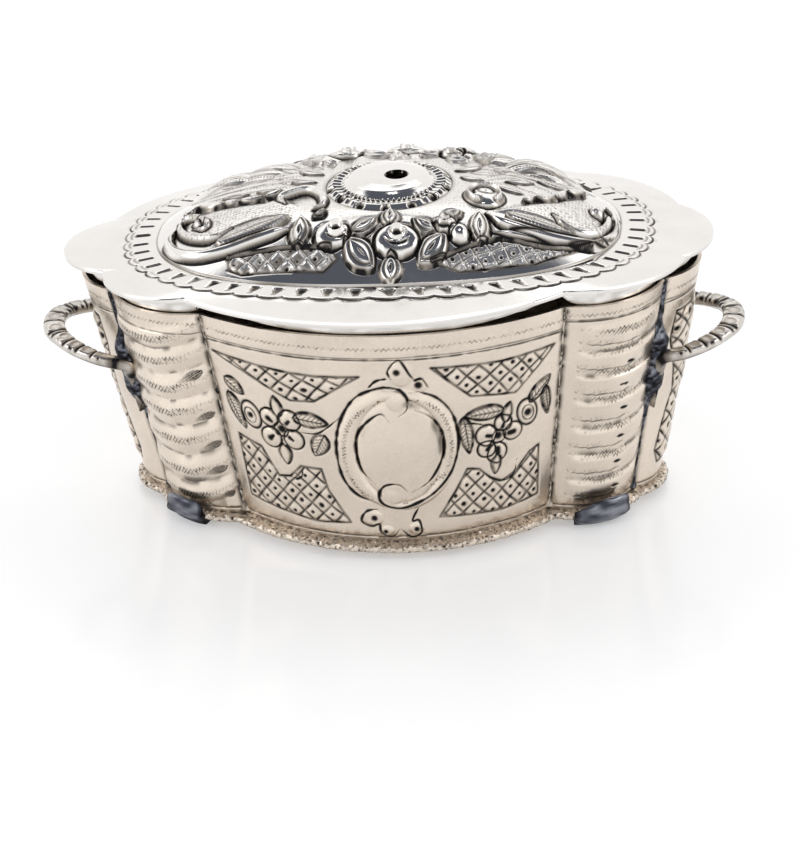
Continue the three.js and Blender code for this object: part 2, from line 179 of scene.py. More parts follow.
class Finishes(bpy.types.PropertyGroup):
    """Colours of the silver."""

    wall: bpy.props.FloatVectorProperty(
        name="Wall silver", description="Warm worn silver of the walls", size=3, subtype="COLOR",
        default=(0.765, 0.675, 0.58),
    )
    lid: bpy.props.FloatVectorProperty(
        name="Lid silver", description="Cleaner silver of the lid", size=3, subtype="COLOR",
        default=(0.78, 0.757, 0.729),
    )
    handle: bpy.props.FloatVectorProperty(
        name="Handle silver", description="Rubbed silver of the handles", size=3, subtype="COLOR",
        default=(0.68, 0.645, 0.60),
    )
    solder: bpy.props.FloatVectorProperty(
        name="Solder", description="Dark solder and feet", size=3, subtype="COLOR",
        default=(0.30, 0.31, 0.345),
    )
    brown: bpy.props.FloatVectorProperty(
        name="Brown film", description="Thin tarnish of the walls", size=3, subtype="COLOR",
        default=(0.27, 0.235, 0.195),
    )
    grey: bpy.props.FloatVectorProperty(
        name="Grey film", description="Thin tarnish of lid and handles", size=3, subtype="COLOR",
        default=(0.29, 0.26, 0.225),
    )
    blue: bpy.props.FloatVectorProperty(
        name="Blue film", description="Thin tarnish of solder and feet", size=3, subtype="COLOR",
        default=(0.062, 0.065, 0.082),
    )
    # Black end of the tarnish ramp, which also colours the painted shade
    tarnish: bpy.props.FloatVectorProperty(
        name="Tarnish", description="Black tarnish in the chased lines", size=3, subtype="COLOR",
        default=(0.018, 0.017, 0.018),
    )


class BoxSettings(bpy.types.PropertyGroup):
    """All the settings of the box."""

    body: bpy.props.PointerProperty(type=BodySizes, name="Body", description="The box under the lid")
    lid: bpy.props.PointerProperty(type=LidSizes, name="Lid", description="The lid and its collar")
    handle: bpy.props.PointerProperty(type=HandleSizes, name="Handles", description="The two straps")
    finish: bpy.props.PointerProperty(type=Finishes, name="Finish", description="Silver and tarnish")


def settings():
    """The box's settings in this scene."""
    return bpy.context.scene.silver_box


def mm(value):
    """A property's length, or its list of lengths, in millimetres."""
    return np.array(value, float) / MM


def smooth(low, high, x):
    """Eases from 0 at low to 1 at high."""
    t = np.clip((np.asarray(x, float) - low) / (high - low), 0, 1)
    return t * t * (3 - 2 * t)


def noise(x, y, seed):
    """Random heights from -1 to 1 at whole numbers of x and y, eased between them."""
    table = np.random.default_rng(seed).uniform(-1, 1, (64, 64))
    i, j = np.floor(x).astype(int), np.floor(y).astype(int)
    u, v = smooth(0, 1, x - i), smooth(0, 1, y - j)
    i, j, right, up = i % 64, j % 64, (i + 1) % 64, (j + 1) % 64
    low = table[i, j] * (1 - u) + table[right, j] * u
    high = table[i, up] * (1 - u) + table[right, up] * u
    return low * (1 - v) + high * v


def bell(distance, width, power=2):
    """Falls from 1 at distance 0 to 1/e at the width, steeper for a higher power."""
    return np.exp(-((distance / width) ** power))


def walk(points):
    """How far each point lies along the line through them."""
    return np.concatenate([[0], np.cumsum(np.linalg.norm(np.diff(points, axis=0), axis=1))])


def fade(along, path, taper, least):
    """Eases from least at both ends of a path to 1, each over the taper's share of its length."""
    if not taper:
        return np.ones_like(along)
    length = np.hypot(*np.diff(path, axis=0).T).sum()
    reach = taper * length
    return least + (1 - least) * smooth(0, reach, along) * smooth(0, reach, length - along)


def curve(points, steps=8):
    """A smooth line through the points: each span is a Catmull-Rom cubic."""
    p = np.array(points, float)
    p = np.vstack([2 * p[0] - p[1], p, 2 * p[-1] - p[-2]])
    t = np.linspace(0, 1, steps, endpoint=False)[None, :, None]
    a, b, c, d = (p[k : len(p) - 3 + k, None, :] for k in range(4))
    spans = 0.5 * (2 * b + (c - a) * t + (2 * a - 5 * b + 4 * c - d) * t**2 + (3 * b - a - 3 * c + d) * t**3)
    return np.vstack([spans.reshape(-1, p.shape[1]), p[-2]])


def oval(at, radii, turn=0.0, start=0.0, end=360.0, steps=36):
    """Points on an ellipse round a centre, turned by turn degrees, from one angle to another."""
    angle = np.radians(np.linspace(start, end, steps))
    x, y = radii[0] * np.cos(angle), radii[1] * np.sin(angle)
    c, s = math.cos(math.radians(turn)), math.sin(math.radians(turn))
    return np.stack([at[0] + c * x - s * y, at[1] + s * x + c * y], -1)


def locate(x, y, path):
    """For each point: its distance from a polyline, how far along it the nearest place is, and its side."""
    best = np.full(np.shape(x), np.inf)
    along, side = np.zeros_like(best), np.ones_like(best)
    start = 0.0
    for (x0, y0), (x1, y1) in zip(path[:-1], path[1:]):
        dx, dy = x1 - x0, y1 - y0
        length = math.hypot(dx, dy) or 1e-9
        t = np.clip(((x - x0) * dx + (y - y0) * dy) / length**2, 0, 1)
        ex, ey = x - x0 - t * dx, y - y0 - t * dy
        distance = np.hypot(ex, ey)
        closer = distance < best
        best = np.where(closer, distance, best)
        along = np.where(closer, start + t * length, along)
        side = np.where(closer, np.where(dx * ey - dy * ex < 0, -1, 1), side)
        start += length
    return best, along, side


def inside(x, y, corners):
    """Whether each point lies inside a polygon, by counting the edges to its right."""
    found = np.zeros(np.shape(x), bool)
    for (x0, y0), (x1, y1) in zip(corners, np.roll(corners, -1, axis=0)):
        crosses = (y0 > y) != (y1 > y)
        found ^= crosses & (x < x0 + (y - y0) * (x1 - x0) / ((y1 - y0) or 1e-9))
    return found


class Chasing:
    """Relief, tarnish with painted shade, and matting worked on a grid of places on the sheet, in
    millimetres.
    """

    def __init__(self, x, y):
        self.x, self.y = x, y
        self.lift = np.zeros_like(x)
        self.dark = np.zeros_like(x)
        self.matt = np.zeros_like(x)

    def near(self, points, margin):
        """The grid places within a margin of the points' bounding box."""
        p = np.atleast_2d(points)
        low, high = p.min(0) - margin, p.max(0) + margin
        return (self.x > low[0]) & (self.x < high[0]) & (self.y > low[1]) & (self.y < high[1])

    def sink(self, where, depth, dark):
        """Lowers the places and darkens them, with any darker tarnish kept."""
        self.lift[where] -= depth
        self.dark[where] = np.maximum(self.dark[where], dark)

    def heap(self, where, top):
        """Lifts the places to a height, unless they stand higher."""
        self.lift[where] = np.maximum(self.lift[where], top)

    def stain_and_shade(self, dark):
        """Darkens the whole sheet for tarnish and for painted shade, with any darker tarnish kept."""
        self.dark = np.maximum(self.dark, dark)

    def follow(self, path, margin):
        """The grid places near a path, their distance from it, how far along it they lie, and their side."""
        where = self.near(path, margin)
        return (where, *locate(self.x[where], self.y[where], path))

    def groove(self, path, width, depth, dark=1.0, taper=0.0):
        """A chased line: depth falls off as a bell over its width, which wavers, and taper thins its ends."""
        where, d, along, _ = self.follow(path, 2 * width)
        ends = fade(along, path, taper, 0.25)
        hand = 0.85 + 0.35 * noise(along / 1.3, path[0][0], 48)
        cut = bell(d, 0.55 * width * ends * hand) * np.sqrt(ends)
        tone = np.clip(1.5 * cut - 0.12, 0, 1) * np.minimum(1, 0.3 + 0.85 * hand)
        self.sink(where, depth * cut, dark * tone)

    def ridge(self, path, width, lift, crease, taper=0.0):
        """A rounded bar along a line, half an ellipse across, with a dark crease on both sides."""
        where, d, along, _ = self.follow(path, width)
        half = width / 2 * fade(along, path, taper, 0.3)
        self.heap(where, lift * np.sqrt(np.clip(1 - (d / half) ** 2, 0, 1)) * np.sqrt(half * 2 / width))
        edge = bell(d - half - 0.1, 0.28)
        self.sink(where, 0.2 * edge, crease * edge)

    def wriggle(self, path, step, swing, width, depth, dark, taper=0.0):
        """A rocked graver line: it zigzags to both sides of the path and darkens at some of its turns."""
        where, d, along, side = self.follow(path, swing + width)
        phase = along / step
        zigzag = swing * (4 * np.abs(phase - np.floor(phase + 0.5)) - 1)
        stroke = bell(d * side - zigzag, width)
        turns = (0.55 + 0.45 * noise(along * 1.7, 0, 5)) * fade(along, path, taper, 0.3)
        self.sink(where, depth * stroke, dark * stroke * turns)

    def dot(self, at, radius, depth):
        """A punched dot: a black pit with a flat floor."""
        where = self.near(at, 2.2 * radius)
        pit = bell(np.hypot(self.x[where] - at[0], self.y[where] - at[1]), radius, 4)
        self.sink(where, depth * pit, pit)

    def mound(self, at, radii, lift, turn=0.0, power=0.5, edge=0.0):
        """A domed oval: its height is lift times (1 - r squared) to the power, with an optional dark edge."""
        where = self.near(at, max(radii) + 0.6)
        x, y = self.x[where] - at[0], self.y[where] - at[1]
        c, s = math.cos(math.radians(turn)), math.sin(math.radians(turn))
        r = np.hypot((c * x + s * y) / radii[0], (c * y - s * x) / radii[1])
        self.heap(where, lift * np.clip(1 - r**2, 0, 1) ** power)
        if edge:
            line = bell((r - 1.04) * min(radii), 0.26)
            self.sink(where, 0.18 * line, edge * line)

    def leaf(self, base, tip, width, lift, vein, rim, edge=1.0, bulge=0.8):
        """A pointed leaf, rounded across, in a dark outline as wide as the rim. Where vein isn't 0, a midrib
        and slanting veins at that distance are cut into it. A lower bulge widens it near the base."""
        base, tip = np.array(base, float), np.array(tip, float)
        length = math.hypot(*(tip - base))
        dx, dy = (tip - base) / length
        where = self.near([base, tip], width)
        x, y = self.x[where] - base[0], self.y[where] - base[1]
        u, v = (x * dx + y * dy) / length, y * dx - x * dy
        half = width / 2 * np.sin(np.pi * np.clip(u, 1e-4, 1 - 1e-4) ** bulge) ** 0.7
        body = (u > 0) & (u < 1) & (np.abs(v) < half)
        top = lift * np.sqrt(np.clip(1 - (v / half) ** 2, 0, 1))
        self.heap(where, np.where(body, top, -np.inf))
        gap = np.maximum(np.abs(v) - half, 0.5 * (half - np.abs(v)))
        past = np.where(u < 0, -u, np.where(u > 1, u - 1, 0)) * length
        outline = bell(np.hypot(gap, past * 1.4), rim, 3)
        worn = 0.8 + 0.35 * noise(x / 1.1, y / 1.1, 47)
        self.sink(where, 0.7 * rim * outline, edge * worn * outline)
        if vein:
            rib = bell(v, 0.2) * body * (u < 0.85)
            slant = (u * length - np.abs(v) * 0.9) / vein
            lines = bell((slant - np.round(slant)) * vein, 0.16) * body * (np.abs(v) < 0.8 * half)
            self.sink(where, 0.12 * np.maximum(rib, 0.7 * lines), 0.85 * edge * np.maximum(rib, 0.85 * lines))

    def lattice(self, corners, slopes, pitch=3.5, lift=0.12, line=0.3, spot=0.56, depth=0.2, shade=0.0,
                raised=0.0):
        """A field of crossed lines with a dot in each cell, inside a chased outline. Each cell is a little
        cushion, each dot sits off its middle by a random step, and shade darkens the cells' ground. Where
        raised isn't 0, the lines are ridges of that height, each with a sunk crease on one side that is
        darkened with painted shade, and the cells are flatter."""
        corners = np.array(corners, float)
        outline = np.vstack([corners, corners[:1]])
        where, gap, along, _ = self.follow(outline, 0.8)
        x, y = self.x[where], self.y[where]
        within = inside(x, y, corners)
        rows = []
        for k, slope in enumerate(slopes):
            a = math.radians(slope)
            rows.append((y * math.cos(a) - x * math.sin(a) + 0.3 * noise(x / 4, y / 4, 11 + k)) / pitch)
        # Raised ridges move their dark line to one side: painted shade in a sunk crease beside each ridge
        beside = 0.42 if raised else 0.0
        cross, ridges = np.zeros_like(x), np.zeros_like(x)
        for row in rows:
            past = (row - np.round(row)) * pitch
            cross = np.maximum(cross, bell(past - beside, line))
            ridges = np.maximum(ridges, bell(past, 0.3))
        cells = [np.floor(row) for row in rows]
        steps = [0.5 + 0.13 * noise(*cells, 22 + k) for k in range(2)]
        off = np.hypot(*[(row - cell - step) * pitch for row, cell, step in zip(rows, cells, steps)])
        spots = bell(off, spot * (1 + 0.22 * noise(*cells, 24)), 4)
        cushion = np.prod([np.sin(np.pi * (row - cell)) for row, cell in zip(rows, cells)], axis=0)
        pillow = 0.08 if raised else 0.22
        self.lift[where] += within * (lift * smooth(0, 1.1, gap) + pillow * cushion + raised * ridges)
        ground = shade * smooth(0.25, 0.7, cushion) * (0.7 + 0.5 * noise(x / 1.1, y / 1.1, 25))
        inner = within * smooth(0.05, 0.3, gap)
        lines = cross * (0.8 + 0.25 * noise(x / 1.3, y / 1.3, 21))
        dark = np.maximum(np.maximum(lines, spots), ground) * inner
        if raised:
            dark = dark * (1 - 0.9 * ridges)
            self.matt[where] = np.maximum(self.matt[where], 0.5 * within)
        self.sink(where, depth * np.maximum(cross, 1.6 * spots) * inner, dark)
        edge = bell(gap, 0.33) * (0.8 + 0.3 * noise(along / 2.0, 0, 31))
        self.sink(where, 0.22 * edge, edge)

    def stipple(self, corners, spacing, radius, depth, dark):
        """A matted field: small punched dots on a jittered grid inside a polygon."""
        corners = np.array(corners, float)
        where = self.near(corners, 0)
        x, y = self.x[where], self.y[where]
        i, j = np.round(x / spacing), np.round(y / spacing)
        off = np.hypot(x / spacing - i - 0.25 * noise(i, j, 41), y / spacing - j - 0.25 * noise(i, j, 42))
        within = inside(x, y, corners)
        pits = bell(off * spacing, radius) * within
        self.sink(where, depth * pits, dark * pits * (0.6 + 0.4 * noise(i * 0.9, j * 0.9, 43)))
        self.matt[where] = np.maximum(self.matt[where], 0.5 * within)

    def beads(self, path, spacing, radius):
        """A row of punched dots along a line."""
        where, d, along, _ = self.follow(path, 2 * radius)
        count = np.round(along / spacing)
        pits = bell(np.hypot(d, (along / spacing - count) * spacing), radius, 4)
        pits = pits * (0.75 + 0.25 * noise(count, 0, 45))
        self.sink(where, 0.12 * pits, 0.9 * pits)

    def hatch(self, path, width, step):
        """A wedge of slanting strokes along a line: narrow at the start, broad later on, and darker below
        with painted shade.
        """
        where, d, along, side = self.follow(path, width)
        share = np.clip(along / np.hypot(*np.diff(path, axis=0).T).sum(), 1e-4, 1 - 1e-4)
        across = d * side / (width / 2 * np.sin(np.pi * share**1.8) ** 0.75)
        within = smooth(1.15, 0.75, np.abs(across)) * (0.25 + 0.75 * smooth(0.1, 0.7, share))
        phase = (along + 0.7 * d * side + 0.12 * noise(along * 2, d * 3, 46)) / step
        strokes = bell((phase - np.round(phase)) * step, 0.19)
        # Painted shade on the lower side of the wedge
        shade = smooth(0.2, 1.0, -across) * smooth(0.3, 0.75, share)
        self.sink(where, 0.15 * within * strokes, 0.95 * within * np.maximum(strokes, shade))

    def calyx(self, base, tip, width, lift, edge):
        """A leaf in a broad dark outline, with a smaller one rolled inside it over a dark slit."""
        base, tip = np.array(base, float), np.array(tip, float)
        self.leaf(base, tip, width, lift, 0.0, 0.34, edge, 1.0)
        inner, end = base + 0.16 * (tip - base), base + 0.88 * (tip - base)
        self.leaf(inner, end, 0.56 * width, lift + 0.3, 0.0, 0.2, 0.8 * edge, 1.0)
        self.groove([base + 0.4 * (tip - base), base + 0.7 * (tip - base)], 0.5, 0.35, 0.9 * edge, taper=0.4)

    def rosette(self, at, radii, lift, hole, tilt):
        """An open flower: a rounded ring in a broad dark edge, round a dark eye with a raised rim. Tilt
        shifts the eye, and a dark crescent lies on the ring towards the lid's outside."""
        self.mound(at, radii, lift, power=0.42)
        self.groove(oval(at, (radii[0] + 0.35, radii[1] + 0.35)), 0.85, 0.7)
        eye = (at[0] + tilt[0], at[1] + tilt[1])
        self.ridge(oval(eye, (hole * 1.45, hole * 1.3)), 0.55 * hole, lift + 0.5, 0.0)
        crescent = oval(eye, (radii[0] * 0.62, radii[1] * 0.68), start=205, end=335, steps=16)
        if tilt[1] < 0:
            crescent[:, 1] = 2 * eye[1] - crescent[:, 1]
        self.groove(crescent, 0.55, 0.5, taper=0.25)
        where = self.near(eye, 2 * hole)
        d = np.hypot(self.x[where] - eye[0], (self.y[where] - eye[1]) / 0.85)
        self.sink(where, 0.9 * bell(d, hole, 4), bell(d, hole, 6))


def flipped(points, way):
    """The points as they are for way 1, and turned over from front to back for way -1."""
    return [(x, y * way) for x, y in points]


def arc(start, end, rise, u):
    """Point and outward normal at share u of the arc that bows out by rise between two plan points, and the
    arc's length."""
    start, end, u = np.array(start), np.array(end), np.asarray(u, float)
    chord = end - start
    half = math.hypot(*chord) / 2
    radius = (half * half + rise * rise) / (2 * rise)
    out = np.array([chord[1], -chord[0]]) / (2 * half)
    centre = (start + end) / 2 + out * (rise - radius)
    turn = math.asin(half / radius) * (2 * u - 1)
    c, s = np.cos(turn), np.sin(turn)
    normal = np.stack([out[0] * c - out[1] * s, out[0] * s + out[1] * c], -1)
    return centre + normal * radius, normal, 2 * radius * math.asin(half / radius)


def lobed_arcs(notches):
    """The arcs of a lobed outline, from its notches in order: start, end and rise of each."""
    following = np.roll(notches, -1, axis=0)
    return [(here[:2], there[:2], here[2]) for here, there in zip(notches, following)]


def mouth_arcs():
    """The mouth is even: the same quarter four times over."""
    body = settings().body
    (cx, cy), (sx, sy), lobe = mm(body.corner), mm(body.side), mm(body.lobe)
    panel, end = mm(body.front_y) - cy, mm(body.end_x) - sx
    return lobed_arcs(np.array([
        (-cx, -cy, panel), (cx, -cy, lobe), (sx, -sy, end), (sx, sy, lobe),
        (cx, cy, panel), (-cx, cy, lobe), (-sx, sy, end), (-sx, -sy, lobe),
    ]))


def foot_arcs():
    """The foot is as uneven as it was made."""
    return lobed_arcs(mm(settings().body.foot))


def on_wall(side, u, t, out=0.0):
    """Points at share u along a side and share t up it, moved out by a distance in mm. A wall is ruled: a
    straight line joins its foot arc and its mouth arc at each u, and its outward normal turns from the
    one's to the other's."""
    body = settings().body
    u, t = np.broadcast_arrays(np.asarray(u, float), np.asarray(t, float))
    foot, foot_normal, _ = arc(*foot_arcs()[side], u)
    mouth, mouth_normal, _ = arc(*mouth_arcs()[side], u)
    share = t[..., None]
    normal = foot_normal + (mouth_normal - foot_normal) * share
    normal /= np.linalg.norm(normal, axis=-1, keepdims=True)
    plan = foot + (mouth - foot) * share + normal * np.asarray(out, float)[..., None]
    z = mm(body.low) + t * (mm(body.height) + body.tilt * mouth[..., 0])
    return np.concatenate([plan, z[..., None]], -1)


def put(name, data):
    """A new object in the scene."""
    obj = bpy.data.objects.new(name, data)
    bpy.context.scene.collection.objects.link(obj)
    return obj


def make_mesh(name, corners, counts, points, dark, matt, material, sharp=math.radians(62)):
    """A smooth-shaded mesh object from one list of face corners, each face's number of corners, points in
    mm, and each point's tarnish, which also carries painted shade, and matting."""
    mesh = bpy.data.meshes.new(name)
    points = np.asarray(points, np.float32) * np.float32(MM)
    corners, counts = np.asarray(corners, np.int32), np.asarray(counts, np.int32)
    mesh.vertices.add(len(points))
    mesh.vertices.foreach_set("co", points.ravel())
    mesh.loops.add(len(corners))
    mesh.loops.foreach_set("vertex_index", corners)
    mesh.polygons.add(len(counts))
    mesh.polygons.foreach_set("loop_start", (np.cumsum(counts) - counts).astype(np.int32))
    mesh.update(calc_edges=True)
    mesh.validate()
    mesh.polygons.foreach_set("use_smooth", np.ones(len(mesh.polygons), bool))
    mesh.set_sharp_from_angle(angle=sharp)
    # The tarnish layer holds both tarnish and painted shade
    for layer, values in (("tarnish", dark), ("matting", matt)):
        attribute = mesh.attributes.new(layer, "FLOAT", "POINT")
        attribute.data.foreach_set("value", values.astype(np.float32))
    mesh.materials.append(material)
    return put(name, mesh)


def soften(values, times, ring):
    """Averages each value with its neighbours, times over, so that a coarser grid can follow it."""
    for _ in range(times):
        if ring:
            values = (np.roll(values, 1, 0) + 2 * values + np.roll(values, -1, 0)) / 4
        else:
            padded = np.pad(values, ((1, 1), (0, 0)), mode="edge")
            values = (padded[:-2] + 2 * values + padded[2:]) / 4
        padded = np.pad(values, ((0, 0), (1, 1)), mode="edge")
        values = (padded[:, :-2] + 2 * values + padded[:, 2:]) / 4
    return values


# The inside of a sheet has every COARSE-th line of the outside's grid, eased SOFTENED times, and even tarnish
COARSE, SOFTENED, INNER_TARNISH = 4, 6, 0.12


def shell(name, outer, inner, dark, matt, material, ring=False):
    """A closed sheet between a fine outer grid and a coarse inner grid. Rows of quads cover both grids, and
    each edge is closed by faces that join one inner span to its outer spans."""
    columns, rows = outer.shape[0] - (0 if ring else 1), outer.shape[1] - 1
    fine = np.arange(outer.shape[0] * outer.shape[1]).reshape(outer.shape[:2])
    rough = fine.size + np.arange(inner.shape[0] * inner.shape[1]).reshape(inner.shape[:2])
    if ring:
        fine, rough = np.vstack([fine, fine[:1]]), np.vstack([rough, rough[:1]])
    quads = [
        np.stack([fine[:-1, :-1], fine[1:, :-1], fine[1:, 1:], fine[:-1, 1:]], -1).reshape(-1, 4),
        np.stack([rough[:-1, :-1], rough[:-1, 1:], rough[1:, 1:], rough[1:, :-1]], -1).reshape(-1, 4),
    ]
    spans, steps = (np.arange(0, n, COARSE)[:, None] + np.arange(COARSE + 1) for n in (columns, rows))
    edges = [
        np.hstack([rough[:-1, :1], rough[1:, :1], fine[spans[:, ::-1], 0]]),
        np.hstack([fine[spans, rows], rough[1:, -1:], rough[:-1, -1:]]),
    ]
    if not ring:
        edges.append(np.hstack([fine[0, steps], rough[0, 1:, None], rough[0, :-1, None]]))
        edges.append(np.hstack([rough[-1, :-1, None], rough[-1, 1:, None], fine[columns, steps[:, ::-1]]]))
    edges = np.vstack(edges)
    corners = np.concatenate([*(q.ravel() for q in quads), edges.ravel()])
    counts = np.concatenate([np.full(sum(map(len, quads)), 4), np.full(len(edges), COARSE + 3)])
    points = np.vstack([outer.reshape(-1, 3), inner.reshape(-1, 3)])
    dark = np.append(dark, np.full(inner.shape[:2], INNER_TARNISH))
    matt = np.append(matt, np.zeros(inner.shape[:2]))
    return make_mesh(name, corners, counts, points, dark, matt, material)


def loft(name, rings, dark, matt, material, sharp=math.radians(50)):
    """A closed solid through rings of points, with a point in the middle of each end. Rings run anticlockwise
    seen from the last ring's side."""
    rings = np.asarray(rings, float)
    count, around = rings.shape[:2]
    index = np.arange(count * around).reshape(count, around)
    after = np.roll(index, -1, axis=1)
    quads = np.stack([index[:-1], after[:-1], after[1:], index[1:]], -1).reshape(-1, 4)
    first, last = count * around, count * around + 1
    caps = np.vstack([
        np.stack([after[0], index[0], np.full(around, first)], -1),
        np.stack([index[-1], after[-1], np.full(around, last)], -1),
    ])
    points = np.vstack([rings.reshape(-1, 3), rings[0].mean(0), rings[-1].mean(0)])
    corners = np.concatenate([quads.ravel(), caps.ravel()])
    counts = np.concatenate([np.full(len(quads), 4), np.full(len(caps), 3)])
    matt = np.broadcast_to(matt, dark.shape)
    dark, matt = (np.append(v, [np.mean(v[0]), np.mean(v[-1])]) for v in (dark, matt))
    return make_mesh(name, corners, counts, points, dark, matt, material, sharp)


def fill(node, values):
    """Sets a node's inputs by their names."""
    for name, value in values.items():
        node.inputs[name].default_value = value


def silver(name, colour, roughness, film, haze=0.10, marks=0.35):
    """Worn silver: cloudy tone, fine scratches and soft hammer marks. The mesh's attributes paint matting
    and tarnish, which also carries painted shade and passes through the film's colour on its way to black."""
    if name in bpy.data.materials:
        return bpy.data.materials[name]
    material = bpy.data.materials.new(name)
    material.use_nodes = True
    nodes, links = material.node_tree.nodes, material.node_tree.links
    shader = nodes["Principled BSDF"]
    fill(shader, {"Metallic": 1.0})
    place = nodes.new("ShaderNodeTexCoord")

    def cloud(scale, detail, rough=0.5, stretch=None):
        texture = nodes.new("ShaderNodeTexNoise")
        fill(texture, {"Scale": scale, "Detail": detail, "Roughness": rough})
        source = place.outputs["Object"]
        if stretch:
            mapping = nodes.new("ShaderNodeMapping")
            fill(mapping, {"Scale": stretch})
            links.new(source, mapping.inputs["Vector"])
            source = mapping.outputs["Vector"]
        links.new(source, texture.inputs["Vector"])
        return texture.outputs["Fac"]

    def ranged(source, low, high, to_low, to_high):
        node = nodes.new("ShaderNodeMapRange")
        fill(node, {"From Min": low, "From Max": high, "To Min": to_low, "To Max": to_high})
        links.new(source, node.inputs["Value"])
        return node.outputs["Result"]

    def maths(kind, a, b):
        node = nodes.new("ShaderNodeMath")
        node.operation = kind
        for socket, value in zip(node.inputs, (a, b)):
            if isinstance(value, (int, float)):
                socket.default_value = value
            else:
                links.new(value, socket)
        return node.outputs[0]

    worn = nodes.new("ShaderNodeAttribute")
    worn.attribute_name = "tarnish"
    clouds = cloud(scale=70.0, detail=5.0, rough=0.6)
    specks = cloud(scale=900.0, detail=3.0, rough=0.7)
    veil = maths("MULTIPLY", ranged(clouds, 0.35, 0.75, 0.0, haze), ranged(specks, 0.3, 0.7, 0.6, 1.4))
    amount = maths("MAXIMUM", worn.outputs["Fac"], veil)
    ramp = nodes.new("ShaderNodeValToRGB")
    links.new(amount, ramp.inputs["Fac"])
    ramp.color_ramp.elements[0].color = (*colour, 1)
    middle = ramp.color_ramp.elements.new(0.5)
    middle.color = (*film, 1)
    ramp.color_ramp.elements[-1].position = 0.85
    ramp.color_ramp.elements[-1].color = (*settings().finish.tarnish, 1)
    links.new(ramp.outputs["Color"], shader.inputs["Base Color"])

    dull = nodes.new("ShaderNodeAttribute")
    dull.attribute_name = "matting"
    rough = ranged(cloud(scale=160.0, detail=4.0), 0.3, 0.7, roughness * 0.8, roughness * 1.25)
    rough = maths("ADD", rough, maths("MULTIPLY", amount, 0.35))
    rough = maths("ADD", rough, maths("MULTIPLY", dull.outputs["Fac"], 0.25))
    links.new(maths("MINIMUM", rough, 0.85), shader.inputs["Roughness"])

    scratches = cloud(scale=1400.0, detail=2.0, rough=0.6, stretch=(1.0, 1.0, 0.06))
    hammer = cloud(scale=190.0, detail=1.0, rough=0.4)
    height = maths("ADD", maths("MULTIPLY", scratches, 0.12), maths("MULTIPLY", hammer, marks))
    bump = nodes.new("ShaderNodeBump")
    fill(bump, {"Strength": 0.5, "Distance": 0.0002})
    links.new(height, bump.inputs["Height"])
    links.new(bump.outputs["Normal"], shader.inputs["Normal"])
    return material


def wall_silver():
    """Warm and half dull, with a thin brown film."""
    finish = settings().finish
    return silver("worn_wall", finish.wall, 0.26, finish.brown)


def lid_silver():
    """Cleaner and glossier, with few marks."""
    finish = settings().finish
    return silver("worn_lid", finish.lid, 0.12, finish.grey, haze=0.06, marks=0.2)


def handle_silver():
    """Rubbed on the high places, with a cloudy grey film. The painted shade under the straps comes in through
    the tarnish layer.
    """
    finish = settings().finish
    return silver("worn_handle", finish.handle, 0.22, finish.grey, haze=0.3)


def foot_silver():
    """Dark blue-grey, folded and a little glossy."""
    finish = settings().finish
    return silver("worn_foot", finish.solder, 0.2, finish.blue, haze=0.12, marks=0.5)


def dark_silver():
    """Solder: dark, mottled and lumpy."""
    finish = settings().finish
    return silver("dark_solder", finish.solder, 0.27, finish.blue, haze=0.5, marks=1.6)


# Chased work of the long panels, as (along, height) in mm: along is 0 in the middle and height 0 at the foot
PANEL_FIELDS = (
    (((-41.1, 45.2), (-23.3, 43.8), (-15.0, 43.5), (-5.0, 44.0), (-10.7, 40.5), (-16.1, 36.8), (-21.9, 36.4),
      (-33.2, 41.7)),
     (-29, 47)),
    (((11.0, 45.5), (27.2, 44.7), (40.5, 45.4), (37.6, 42.2), (30.7, 35.7), (19.8, 37.1), (14.9, 41.7)),
     (39, -50)),
    (((-38.5, 23.6), (-32.1, 21.9), (-28.3, 14.8), (-25.1, 15.4), (-21.8, 18.7), (-16.6, 18.7),
      (-15.5, 13.3), (-10.8, 4.8), (-19.9, 4.0), (-28.9, 5.1), (-38.7, 6.5)),
     (-42, 48)),
    (((37.7, 19.5), (38.3, 5.8), (27.6, 4.8), (11.4, 5.9), (15.7, 12.6), (18.6, 18.0), (21.5, 17.4),
      (24.5, 14.3), (27.6, 12.8), (31.3, 14.5), (35.1, 18.5)),
     (42, -50)),
)
MEDALLION = {"at": (2.4, 24.7), "half": (14.3, 16.1), "cushion": (10.1, 13.7), "lift": 1.5, "band": 0.75}
LEFT_SCROLL = (
    (3.2, 34.1), (5.1, 35.8), (5.2, 38.8), (3.2, 40.8), (-0.4, 41.1), (-5.7, 39.0), (-9.2, 34.7),
    (-11.5, 29.0), (-12.2, 22.8), (-11.3, 16.7), (-8.3, 12.5), (-3.5, 10.5),
)
LEFT_INSIDE = (
    (1.0, 32.7), (-0.8, 34.8), (-4.2, 32.4), (-6.8, 28.7), (-7.4, 24.4), (-6.5, 19.5), (-3.5, 15.9),
)
RIGHT_SCROLL = (
    (5.6, 40.0), (8.2, 39.8), (12.2, 37.6), (15.2, 33.6), (16.6, 28.6), (16.6, 24.3), (14.7, 18.3),
    (11.1, 13.8), (7.2, 11.1), (2.0, 9.2), (-1.8, 10.2), (-3.0, 12.7), (-1.4, 15.6), (1.9, 16.1),
    (4.0, 13.9),
)
RIGHT_INSIDE = (
    (6.7, 35.5), (9.9, 33.6), (12.5, 29.8), (13.2, 24.8), (12.0, 20.6), (9.1, 16.3), (5.0, 13.8),
)
LEFT_WRIGGLE = (
    (-1.1, 37.6), (-5.6, 34.9), (-8.9, 30.4), (-10.2, 24.2), (-9.7, 18.0), (-7.1, 13.9), (-4.4, 12.1),
)
RIGHT_WRIGGLE = (
    (6.3, 38.1), (10.1, 36.7), (13.1, 33.3), (14.7, 27.6), (14.5, 22.1), (12.5, 17.5), (7.8, 13.6),
)
